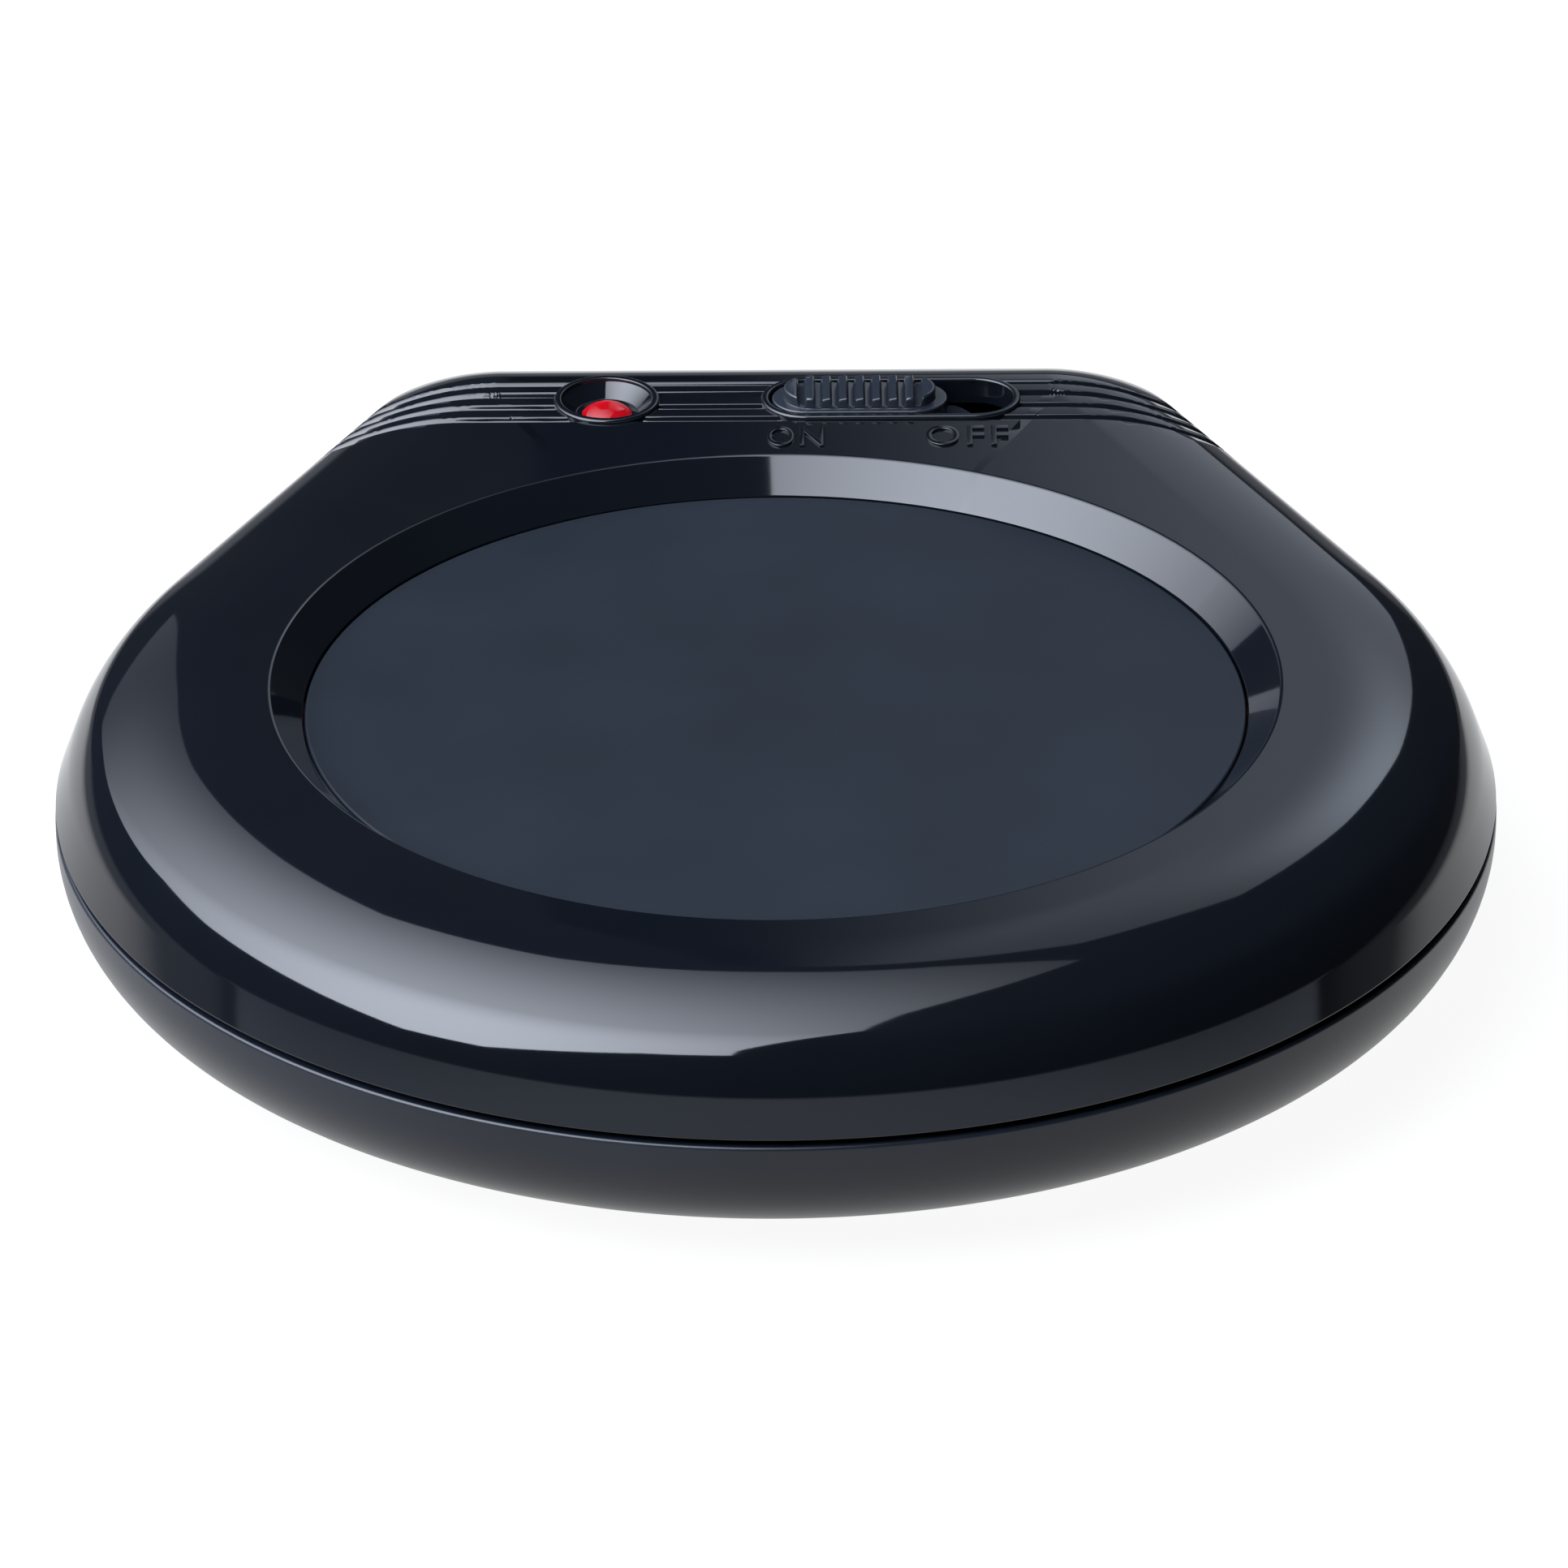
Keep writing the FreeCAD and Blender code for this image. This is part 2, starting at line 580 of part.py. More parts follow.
def cover_section(sketch):
    """Wall of the cover in the length plane, at the front: shoulder, skirt and flared lip."""
    def at(inset, drop):
        return f"({inset}) - flange_radius", f"{RING} - ({drop})"

    run, drop, small, thick = (value(n) for n in ("shoulder_run", "shoulder_drop", "tuck_radius", "wall"))
    large = ((run - small) ** 2 + drop ** 2 - small ** 2) / (2 * (drop - small))
    crown_centre = vector(*at(SHOULDER_INSET, "0")) - Vector(0, large, 0)
    tuck_centre = vector(*at("lip_flare + tuck_radius", "shoulder_drop"))
    meet = math.atan2(tuck_centre.y - crown_centre.y, tuck_centre.x - crown_centre.x)
    crown = arc(sketch, crown_centre, large, math.pi / 2, meet)
    tuck = arc(sketch, tuck_centre, small, meet % (2 * math.pi), math.pi)
    corners = [
        at("lip_flare", "shoulder_drop"),
        at("lip_flare", "cover_height - lip_rise"),
        at("0", "cover_height - lip_edge"),
        at("0", "cover_height"),
        at("base_wall + skirt_clearance", "cover_height"),
        at("base_wall + skirt_clearance", "cover_height + skirt_drop"),
        at("lip_flare + wall", "cover_height + skirt_drop"),
        at("lip_flare + wall", "shoulder_drop"),
    ]
    points = [vector(*corner) for corner in corners]
    edges = [line(sketch, a, b) for a, b in zip(points, points[1:])]
    inner_tuck = arc(sketch, tuck_centre, small - thick, meet % (2 * math.pi), math.pi)
    inner_crown = arc(sketch, crown_centre, large - thick, math.pi / 2, meet)
    top = crown_centre + Vector(0, large, 0)
    edge = line(sketch, top - Vector(0, thick, 0), top)
    rule = Sketcher.Constraint
    for first, second in zip(edges, edges[1:]):
        sketch.addConstraint(rule("Coincident", first, 2, second, 1))
    for index, corner in enumerate(corners[:-1]):
        locate(sketch, edges[index], 1, *corner)
    locate(sketch, edges[-1], 2, *corners[-1])
    sketch.addConstraint(rule("Coincident", tuck, 2, edges[0], 1))
    sketch.addConstraint(rule("Tangent", crown, 2, tuck, 1))
    sketch.addConstraint(rule("Coincident", inner_tuck, 2, edges[-1], 2))
    sketch.addConstraint(rule("Coincident", inner_tuck, 3, tuck, 3))
    sketch.addConstraint(rule("Coincident", inner_crown, 3, crown, 3))
    sketch.addConstraint(rule("Tangent", inner_crown, 2, inner_tuck, 1))
    sketch.addConstraint(rule("Horizontal", tuck, 2, tuck, 3))
    sketch.addConstraint(rule("Vertical", crown, 1, crown, 3))
    sketch.addConstraint(rule("Coincident", edge, 2, crown, 1))
    sketch.addConstraint(rule("Coincident", edge, 1, inner_crown, 1))
    sketch.addConstraint(rule("Vertical", edge))
    datum(sketch, "Radius", (tuck,), "tuck_radius")
    locate(sketch, crown, 1, *at(SHOULDER_INSET, "0"))
    doc.recompute()
    return sketch


def top_cover():
    body = new_body("cover")
    path = outline(sketch_on(body, "cover_path"), "0")
    section = cover_section(sketch_on(body, "cover_wall", "YZ_Plane"))
    shell = body.newObject("PartDesign::AdditivePipe", "shoulder_and_skirt")
    shell.Profile = section
    shell.Spine = (path, [])
    doc.recompute()
    pad(body, "deck", outline(sketch_on(body, "deck_shape", height=RING), SHOULDER_INSET), "wall", down=True)
    collar = circle(sketch_on(body, "collar_shape", height=RING), "recess_radius + collar_width")
    pad(body, "collar", collar, "collar_depth", down=True)
    recess = polygon(sketch_on(body, "recess_shape", "XZ_Plane"), [
        ("0", f"{RING}"),
        ("recess_radius", f"{RING}"),
        ("opening_radius", PLATE_TOP),
        ("opening_radius", f"{RING} - collar_depth"),
        ("0", f"{RING} - collar_depth"),
    ])
    turned(body, "recess", recess, cutting=True)
    width = "2 * (flange_radius + lip_flare)"
    groove_shape = sketch_on(body, "groove_shape", height=RING)
    polygon(groove_shape, [
        (f"-{width} / 2", "band_start - groove_width / 2"),
        (f"{width} / 2", "band_start - groove_width / 2"),
        (f"{width} / 2", "band_start + groove_width / 2"),
        (f"-{width} / 2", "band_start + groove_width / 2"),
    ])
    groove = pocket(body, "groove", groove_shape, "groove_depth")
    row = body.newObject("PartDesign::LinearPattern", "grooves")
    row.Originals = [groove]
    row.Direction = (groove_shape, ["V_Axis"])
    bind(row, "Length", "groove_pitch * (groove_count - 1)")
    bind(row, "Occurrences", "groove_count")
    body.Tip = row
    doc.recompute()

    rim = "dish_radius + bezel_width"
    added = [
        cylinder("dish_bezel", rim, "wall + bezel_rise", "lamp_x", "lamp_y", DECK_UNDER),
        cylinder("lamp_tube", "tube_radius", "tube_drop - wall / 2", "lamp_x", "lamp_y", TUBE_LOW),
    ]
    slot = new_body("slot_bezel")
    plan = stadium(
        sketch_on(slot, "bezel_shape", height=DECK_UNDER),
        "slot_length + 2 * bezel_width", "slot_width + 2 * bezel_width", "switch_x", "switch_y",
    )
    pad(slot, "bezel", plan, "wall + bezel_rise")
    added.append(slot)
    for side, (x, y) in EARS.items():
        height = f"{RING} - wall / 2 - {FLANGE_LOW}"
        added.append(cylinder(f"clamp_boss_{side}", "boss_radius", height, x, y, FLANGE_LOW))
    for side, (x, y) in SWITCH_EARS.items():
        height = f"{RING} - wall / 2 - {FRAME_TOP}"
        added.append(cylinder(f"switch_boss_{side}", "switch_boss_radius", height, x, y, FRAME_TOP))
    for side, (x, y) in POSTS.items():
        height = f"{RING} - wall / 2 - {POST_TOP}"
        added.append(cylinder(f"cover_post_{side}", "post_radius - hole_clearance", height, x, y, POST_TOP))
    slot_hole = new_body("slot_hole")
    plan = stadium(
        sketch_on(slot_hole, "slot_shape", height=f"{DECK_UNDER} - wall"),
        "slot_length", "slot_width", "switch_x", "switch_y",
    )
    pad(slot_hole, "slot", plan, "3 * wall")
    bulb_room = "bulb_radius + hole_clearance"
    removed = [
        slot_hole,
        cone("dish", "dish_floor_radius", "dish_radius", "dish_depth", "lamp_x", "lamp_y", LENS_FLOOR),
        cylinder("dish_mouth", "dish_radius", "2 * bezel_rise", "lamp_x", "lamp_y", RING),
        cylinder("lens_hole", "lens_radius + thread_clearance", "wall", "lamp_x", "lamp_y", DECK_UNDER),
        cylinder(
            "tube_bore", "lens_flange_radius + thread_clearance", f"{DECK_UNDER} - {TUBE_LOW}",
            "lamp_x", "lamp_y", TUBE_LOW,
        ),
    ]
    removed.append(box(
        "inlet_gap", "2 * (inlet_pad + inlet_notch)", "4 * wall", "skirt_drop",
        "inlet_x", PAD_FACE, f"{COVER_LOW} - skirt_drop",
    ))
    for side, (x, y) in EARS.items():
        radius = "clamp_screw_radius + thread_clearance"
        depth = "clamp_screw_length - clamp_sheet + hole_clearance"
        removed.append(cylinder(f"clamp_pilot_{side}", radius, depth, x, y, FLANGE_LOW))
    for side, (x, y) in SWITCH_EARS.items():
        radius = "clamp_screw_radius - hole_clearance + thread_clearance"
        depth = "knob_flange + 4 * knob_gap"
        removed.append(cylinder(f"switch_pilot_{side}", radius, depth, x, y, FRAME_TOP))
    for side, (x, y) in POSTS.items():
        depth = f"{RING} - 2 * wall - {POST_TOP}"
        radius = "screw_radius + thread_clearance"
        removed.append(cylinder(f"post_pilot_{side}", radius, depth, x, y, POST_TOP))
    finish(cut("cover_shape", fuse("cover_blank", [body] + added), removed), "top_cover")


# The base.


def base_shell():
    body = new_body("base")
    plan = outline(sketch_on(body, "base_shape", height="foot_stand"), "0")
    block = pad(body, "base_block", plan, "base_height")
    rounded = soften(body, "base_rounding", block, level("foot_stand"), "base_round")
    soften(body, "rim_rounding", rounded, level(RIM), "rim_radius")
    room = new_body("room")
    hollow = outline(sketch_on(room, "room_shape", height=FLOOR), "base_wall")
    core = pad(room, "room_block", hollow, "base_height")
    soften(room, "room_rounding", core, level(FLOOR), "base_round - base_wall")
    bowl = cut("bowl", body, [room])

    inlet_low = f"{PAD_FACE} - inlet_pad_depth"
    added = [rod("inlet_pad", "inlet_pad", "inlet_pad_depth", "inlet_x", inlet_low, INLET_Z, "Y")]
    for side, (x, y) in POSTS.items():
        height = "post_height - base_wall / 2"
        added.append(cylinder(f"base_post_{side}", "post_radius", height, x, y, "foot_stand + base_wall / 2"))
    added.append(box(
        "block_boss", "block_length", "block_width", "base_wall / 2 + hole_clearance",
        "block_x", "block_y", "foot_stand + base_wall / 2",
    ))
    removed = [
        rod("inlet_seat", "inlet_flat", "2 * inlet_pad_inset", "inlet_x", PAD_FACE, INLET_Z, "Y"),
        rod(
            "inlet_hole", "inlet_neck + thread_clearance", "inlet_pad_depth",
            "inlet_x", inlet_low, INLET_Z, "Y",
        ),
        rod(
            "barb_relief", "inlet_barb + barb_clearance", "inlet_collar_length + 2 * barb_clearance",
            "inlet_x", f"{inlet_low} - inlet_collar_length - 2 * barb_clearance", INLET_Z, "Y",
        ),
    ]
    removed.append(cylinder(
        "block_pilot", "block_screw_radius + thread_clearance", "base_wall", "block_x", "block_y",
        "foot_stand + base_wall / 2",
    ))
    for side, (x, y) in POSTS.items():
        removed.append(cylinder(
            f"post_hole_{side}", "screw_radius + hole_clearance", "post_height", x, y, "foot_stand",
        ))
        removed.append(cylinder(
            f"post_sink_{side}", "screw_head_radius + hole_clearance", "screw_sink", x, y, "foot_stand",
        ))
    for side, (x, y) in FEET.items():
        removed.append(cylinder(
            f"foot_seat_{side}", "foot_radius + thread_clearance", "foot_seat", x, y, "foot_stand",
        ))
    finish(cut("base_cut", fuse("base_blank", [bowl] + added), removed), "base_shell")


def rubber_feet():
    for side, (x, y) in FEET.items():
        body = new_body(f"foot_{side}")
        height = "foot_stand + foot_seat"
        polygon(sketch_on(body, f"foot_{side}_shape", "XZ_Plane"), [
            ("0", "0"),
            ("foot_radius - foot_round", "0"),
            ("foot_radius", "foot_round"),
            ("foot_radius", height),
            ("0", height),
        ])
        turned(body, f"foot_{side}_turned", body.Group[-1])
        finish(body, f"rubber_foot_{side}")
        bind(body, "Placement.Base.x", x)
        bind(body, "Placement.Base.y", f"{AXIS_Y} + ({y})")


def base_screws():
    screws = []
    for side, (x, y) in POSTS.items():
        screws.append(screw(
            f"base_screw_{side}", "screw_radius", "screw_length", "screw_head_radius", "screw_head_height",
            x, y, "(foot_stand + screw_sink)", up=True,
        ))
    finish(group("base_screw_set", screws), "base_screws")


def cord_inlet():
    """A bushing snapped into the flat pad at the back: collar, neck and inner barb."""
    body = new_body("inlet")
    collar_end = f"{PAD_FACE} + inlet_collar_length"
    neck_end = f"{PAD_FACE} - inlet_pad_depth - hole_clearance"
    barb_end = f"{neck_end} - inlet_collar_length"
    polygon(sketch_on(body, "inlet_shape", "XY_Plane"), [
        ("inlet_bore", collar_end),
        ("inlet_bore", barb_end),
        ("inlet_neck", barb_end),
        ("inlet_barb", neck_end),
        ("inlet_neck", neck_end),
        ("inlet_neck", PAD_FACE),
        ("inlet_collar", PAD_FACE),
        ("inlet_collar", collar_end),
    ])
    turned(body, "inlet_turned", body.Group[-1])
    finish(body, "cord_bushing")
    bind(body, "Placement.Base.x", "inlet_x")
    bind(body, "Placement.Base.z", INLET_Z)


# Heating plate and the stack clamped under it.


def heating_plate():
    body = new_body("plate")
    inner = f"{PLATE_RADIUS} - plate_sheet"
    polygon(sketch_on(body, "plate_section", "XZ_Plane"), [
        ("0", PLATE_TOP),
        (PLATE_RADIUS, PLATE_TOP),
        (PLATE_RADIUS, FLANGE_TOP),
        ("plate_flange_radius", FLANGE_TOP),
        ("plate_flange_radius", FLANGE_LOW),
        (inner, FLANGE_LOW),
        (inner, STACK_TOP),
        ("0", STACK_TOP),
    ])
    turned(body, "plate_pressed", body.Group[-1])
    finish(body, "heating_plate")


def plate_seal():
    outer = f"{PLATE_RADIUS} + plate_clearance + seal_width"
    ring = cylinder("seal_ring", outer, "seal_thickness", z=FLANGE_TOP)
    hole = cylinder("seal_hole", f"{PLATE_RADIUS} + plate_clearance", "seal_thickness", z=FLANGE_TOP)
    finish(cut("seal_shape", ring, [hole]), "plate_seal")


def tab_holes(name, z, height):
    return [
        cylinder(f"{name}_hole_left", "tab_hole_radius", height, "-tab_spread", "-tab_reach", z),
        cylinder(f"{name}_hole_right", "tab_hole_radius", height, "tab_spread", "-tab_reach", z),
    ]


def heater_stack():
    finish(cylinder("upper_mica", STACK_RADIUS, "mica_thickness", z=HEATER_TOP), "upper_mica_sheet")
    card = cylinder("card", STACK_RADIUS, "heater_thickness", z=LOWER_MICA_TOP)
    finish(card, "heater_card")
    lower = cylinder("lower_mica", STACK_RADIUS, "mica_thickness", z=PAD_TOP)
    finish(cut("lower_mica_cut", lower, tab_holes("mica", PAD_TOP, "mica_thickness")), "lower_mica_sheet")
    wool = cylinder("wool", STACK_RADIUS, "pad_thickness", z=DISH_TOP)
    finish(cut("wool_cut", wool, tab_holes("wool", DISH_TOP, "pad_thickness")), "insulation_pad")


def heater_tabs():
    length = f"{LOWER_MICA_TOP} - {DISH_LOW} + tab_length"
    tabs = [
        box(
            f"tab_{side}", "tab_width", "tab_thickness", length,
            x, "-tab_reach", f"{DISH_LOW} - tab_length",
        )
        for side, x in (("left", "-tab_spread"), ("right", "tab_spread"))
    ]
    finish(group("heater_tab_pair", tabs), "heater_tabs")


def clamp_plate():
    body = new_body("clamp")
    inside = f"{STACK_RADIUS} + dish_clearance"
    polygon(sketch_on(body, "clamp_section", "XZ_Plane"), [
        ("0", DISH_TOP),
        (inside, DISH_TOP),
        (inside, FLANGE_LOW),
        ("clamp_rim_radius", FLANGE_LOW),
        ("clamp_rim_radius", EAR_LOW),
        (f"{inside} + clamp_sheet", EAR_LOW),
        (f"{inside} + clamp_sheet", DISH_LOW),
        ("0", DISH_LOW),
    ])
    turned(body, "clamp_pressed", body.Group[-1])
    ear_shape = sketch_on(body, "ear_shape", height=EAR_LOW)
    polygon(ear_shape, [
        ("-ear_radius", "-ear_centre - ear_radius"),
        ("ear_radius", "-ear_centre - ear_radius"),
        ("ear_radius", "-clamp_rim_radius + 2 * clamp_sheet"),
        ("-ear_radius", "-clamp_rim_radius + 2 * clamp_sheet"),
    ])
    ear = pad(body, "ear", ear_shape, "clamp_sheet")
    hole_shape = circle(
        sketch_on(body, "ear_hole_shape", height=FLANGE_LOW),
        "clamp_screw_radius + hole_clearance", "0", "-ear_centre",
    )
    hole = pocket(body, "ear_hole", hole_shape, "clamp_sheet")
    ring = body.newObject("PartDesign::PolarPattern", "ears")
    ring.Originals = [ear, hole]
    ring.Axis = (ear_shape, ["N_Axis"])
    ring.Angle = 360
    ring.Occurrences = len(EARS)
    body.Tip = ring
    doc.recompute()
    tools = tab_holes("clamp", DISH_LOW, "clamp_sheet")
    finish(cut("clamp_cut", body, tools), "clamp_plate")


def clamp_screws():
    screws = [
        screw(
            f"clamp_screw_{side}", "clamp_screw_radius", "clamp_screw_length", "pan_head_radius",
            "pan_head_height", x, y, EAR_LOW, up=True,
        )
        for side, (x, y) in EARS.items()
    ]
    finish(group("clamp_screw_set", screws), "clamp_screws")


def thermal_fuse():
    z = f"{DISH_LOW} - fuse_radius"
    sleeve = rod("sleeve", "fuse_radius", "fuse_length", "-fuse_length / 2", "fuse_reach", z, "X")
    finish(sleeve, "thermal_fuse")


RIVETS = {
    "front": "fuse_reach - fuse_radius - clip_sheet - clip_foot / 2",
    "rear": "fuse_reach + fuse_radius + clip_sheet + clip_foot / 2",
}


def fuse_strap():
    """A sheet strap bent over the fuse, with two flat feet riveted to the clamp plate."""
    z = f"{DISH_LOW} - fuse_radius"
    crown = "fuse_radius + clip_sheet"
    outer = rod("strap_outer", crown, "clip_width", "-clip_width / 2", "fuse_reach", z, "X")
    width = "2 * (fuse_radius + clip_sheet)"
    sides = box("strap_sides", "clip_width", width, "fuse_radius", "0", "fuse_reach", z)
    span = f"{width} + 2 * clip_foot"
    foot_low = f"{DISH_LOW} - clip_sheet"
    feet = box("strap_feet", "clip_width", span, "clip_sheet", "0", "fuse_reach", foot_low)
    above = box("strap_above", "2 * clip_width", span, "2 * fuse_radius", "0", "fuse_reach", DISH_LOW)
    room = rod("strap_room", "fuse_radius", "2 * clip_width", "-clip_width", "fuse_reach", z, "X")
    gap = box("strap_gap", "2 * clip_width", "2 * fuse_radius", "fuse_radius", "0", "fuse_reach", z)
    holes = [
        cylinder(f"strap_hole_{side}", "rivet_radius", "clip_sheet", "0", y, foot_low)
        for side, y in RIVETS.items()
    ]
    blank = fuse("strap_blank", [outer, sides, feet])
    finish(cut("strap_shape", blank, [above, room, gap] + holes), "fuse_strap")


def strap_rivets():
    rivets = []
    for side, y in RIVETS.items():
        stem = cylinder(f"rivet_{side}", "rivet_radius", "clip_sheet", "0", y, f"{DISH_LOW} - clip_sheet")
        head = cylinder(
            f"rivet_head_{side}", "rivet_head", "clip_sheet", "0", y, f"{DISH_LOW} - 2 * clip_sheet",
        )
        rivets.append(fuse(f"rivet_set_{side}", [stem, head]))
    finish(group("strap_rivet_pair", rivets), "strap_rivets")


# Slide switch.


def switch_knob():
    """Ribbed crown on a ledge, with a wide flange below the cover and a socket for the stem."""
    body = new_body("knob")
    flange_shape = sketch_on(body, "flange_shape", height=KNOB_FLANGE_LOW)
    stadium(flange_shape, "knob_flange_length", "knob_flange_width")
    pad(body, "flange", flange_shape, "knob_flange")
    ledge_shape = sketch_on(body, "ledge_shape", height=KNOB_FLANGE_TOP)
    stadium(ledge_shape, "knob_length", "knob_width")
    pad(body, "ledge", ledge_shape, "knob_gap + wall + knob_rise")
    crown_low = f"{RING} + knob_rise"
    crown_shape = stadium(sketch_on(body, "crown_shape", height=crown_low), "grip_length", "grip_width")
    pad(body, "crown", crown_shape, "grip_height")
    valley_shape = sketch_on(body, "valley_shape", height=f"{crown_low} + grip_height")
    first = "-rib_pitch * (rib_valleys - 1) / 2"
    polygon(valley_shape, [
        (f"{first} - rib_gap / 2", "-grip_width"),
        (f"{first} + rib_gap / 2", "-grip_width"),
        (f"{first} + rib_gap / 2", "grip_width"),
        (f"{first} - rib_gap / 2", "grip_width"),
    ])
    valley = pocket(body, "valley", valley_shape, "rib_depth")
    row = body.newObject("PartDesign::LinearPattern", "valleys")
    row.Originals = [valley]
    row.Direction = (valley_shape, ["H_Axis"])
    bind(row, "Length", "rib_pitch * (rib_valleys - 1)")
    bind(row, "Occurrences", "rib_valleys")
    body.Tip = row
    doc.recompute()
    socket_shape = sketch_on(body, "socket_shape", height=KNOB_FLANGE_LOW)
    long, wide = "(stem_length / 2 + stem_fit)", "(stem_width / 2 + stem_fit)"
    corners = [(f"-{long}", f"-{wide}"), (long, f"-{wide}"), (long, wide), (f"-{long}", wide)]
    polygon(socket_shape, corners)
    pocket(body, "socket", socket_shape, "stem_engage + stem_fit", up=True)
    finish(body, "switch_knob")
    bind(body, "Placement.Base.x", KNOB_X)
    bind(body, "Placement.Base.y", f"{AXIS_Y} + switch_y")


def slider():
    block = box(
        "slider_block", "slider_length", "slider_width", "slider_height",
        KNOB_X, "switch_y", SLIDER_LOW,
    )
    rise = f"{KNOB_FLANGE_LOW} + stem_engage - {SLIDER_TOP}"
    stem = box("slider_stem", "stem_length", "stem_width", rise, KNOB_X, "switch_y", SLIDER_TOP)
    finish(fuse("slider_shape", [block, stem]), "switch_slider")
    bridge = box(
        "bridge_leaf", "bridge_length", "bridge_width", "bridge_sheet",
        KNOB_X, "switch_y", BRIDGE_LOW,
    )
    finish(bridge, "contact_bridge")
    bind(bridge, "Placement.Base.y", f"{AXIS_Y} + switch_y - bridge_width / 2")


def switch_frame():
    body = new_body("frame")
    plan = sketch_on(body, "frame_shape", height=FRAME_LOW)
    stadium(plan, "2 * (frame_screw_spread + frame_ear)", "2 * frame_ear")
    pad(body, "frame_ears", plan, "frame_sheet")
    half, deep = "(switch_length / 2)", "(frame_width / 2)"
    middle = sketch_on(body, "frame_middle", height=FRAME_LOW)
    polygon(middle, [(f"-{half}", f"-{deep}"), (half, f"-{deep}"), (half, deep), (f"-{half}", deep)])
    pad(body, "frame_plate", middle, "frame_sheet")
    window = sketch_on(body, "window_shape", height=FRAME_TOP)
    long = "(stem_length / 2 + knob_travel / 2 + knob_gap)"
    wide = "(stem_width / 2 + knob_gap)"
    corners = [(f"-{long}", f"-{wide}"), (long, f"-{wide}"), (long, wide), (f"-{long}", wide)]
    polygon(window, corners)
    pocket(body, "window", window, "frame_sheet")
    bind(body, "Placement.Base.x", "switch_x")
    bind(body, "Placement.Base.y", "switch_y")
    tabs = [
        box(
            f"frame_tab_{side}", "frame_tab_width", "frame_sheet", "frame_tab_drop", "switch_x",
            f"switch_y + {sign} * (frame_width - frame_sheet) / 2", f"{FRAME_LOW} - frame_tab_drop",
        )
        for side, sign in (("front", "-1"), ("rear", "1"))
    ]
    holes = [
        cylinder(f"frame_hole_{side}", "clamp_screw_radius", "frame_sheet", x, y, FRAME_LOW)
        for side, (x, y) in SWITCH_EARS.items()
    ]
    finish(cut("frame_cut", fuse("frame_blank", [body] + tabs), holes), "switch_frame")


def switch_screws():
    screws = [
        screw(
            f"switch_screw_{side}", "clamp_screw_radius - hole_clearance", "knob_flange + 3 * knob_gap",
            "pan_head_radius", "pan_head_height", x, y, FRAME_LOW, up=True,
        )
        for side, (x, y) in SWITCH_EARS.items()
    ]
    finish(group("switch_screw_pair", screws), "switch_screws")


CONTACTS = {
    "live": f"{KNOB_X} - contact_spread",
    "switched": f"{KNOB_X} + contact_spread",
}


def switch_housing():
    width = "(frame_width - 2 * frame_sheet - 2 * thread_clearance)"
    case = box(
        "switch_case", "switch_length", width, f"{FRAME_LOW} - {SWITCH_LOW}",
        "switch_x", "switch_y", SWITCH_LOW,
    )
    room = box(
        "switch_room", "slider_length + knob_travel + 2 * knob_gap", "slider_width + 2 * knob_gap",
        f"{FRAME_LOW} - {SWITCH_FLOOR}", "switch_x", "switch_y", SWITCH_FLOOR,
    )
    slots = [
        box(f"pin_slot_{side}", "pin_thickness", "pin_width", "switch_floor", x, "switch_y", SWITCH_LOW)
        for side, x in CONTACTS.items()
    ]
    finish(cut("switch_case_cut", case, [room] + slots), "switch_housing")


def switch_contacts():
    for side, x in CONTACTS.items():
        head = box(
            f"{side}_head", "contact_length", "pin_width", "contact_sheet",
            x, "switch_y", SWITCH_FLOOR,
        )
        height = f"{SWITCH_FLOOR} - {PIN_LOW}"
        pin = box(f"{side}_pin", "pin_thickness", "pin_width", height, x, "switch_y", PIN_LOW)
        finish(fuse(f"{side}_contact_shape", [head, pin]), f"{side}_contact")


# Indicator.


def indicator_lens():
    body = new_body("lens")
    top = f"{LENS_FLOOR} + lens_dome"
    section = sketch_on(body, "lens_section", "XZ_Plane")
    dome = value("lens_dome")
    wide = value("lens_radius")
    radius = (wide ** 2 + dome ** 2) / (2 * dome)
    centre = vector("0", top) - Vector(0, radius, 0)
    corners = [
        ("lens_radius", LENS_FLOOR),
        ("lens_radius", DECK_UNDER),
        ("lens_flange_radius", DECK_UNDER),
        ("lens_flange_radius", LENS_SEAT),
        ("0", LENS_SEAT),
        ("0", top),
    ]
    points = [vector(*corner) for corner in corners]
    edges = [line(section, a, b) for a, b in zip(points, points[1:])]
    cap = arc(section, centre, radius, math.asin((radius - dome) / radius), math.pi / 2)
    rule = Sketcher.Constraint
    for first, second in zip(edges, edges[1:]):
        section.addConstraint(rule("Coincident", first, 2, second, 1))
    for index, corner in enumerate(corners[:-1]):
        locate(section, edges[index], 1, *corner)
    locate(section, edges[-1], 2, *corners[-1])
    section.addConstraint(rule("Coincident", cap, 1, edges[0], 1))
    section.addConstraint(rule("Coincident", cap, 2, edges[-1], 2))
    section.addConstraint(rule("PointOnObject", cap, 3, -2))
    doc.recompute()
    turned(body, "lens_turned", section)
    finish(body, "indicator_lens")
    bind(body, "Placement.Base.x", "lamp_x")
    bind(body, "Placement.Base.y", f"{AXIS_Y} + lamp_y")


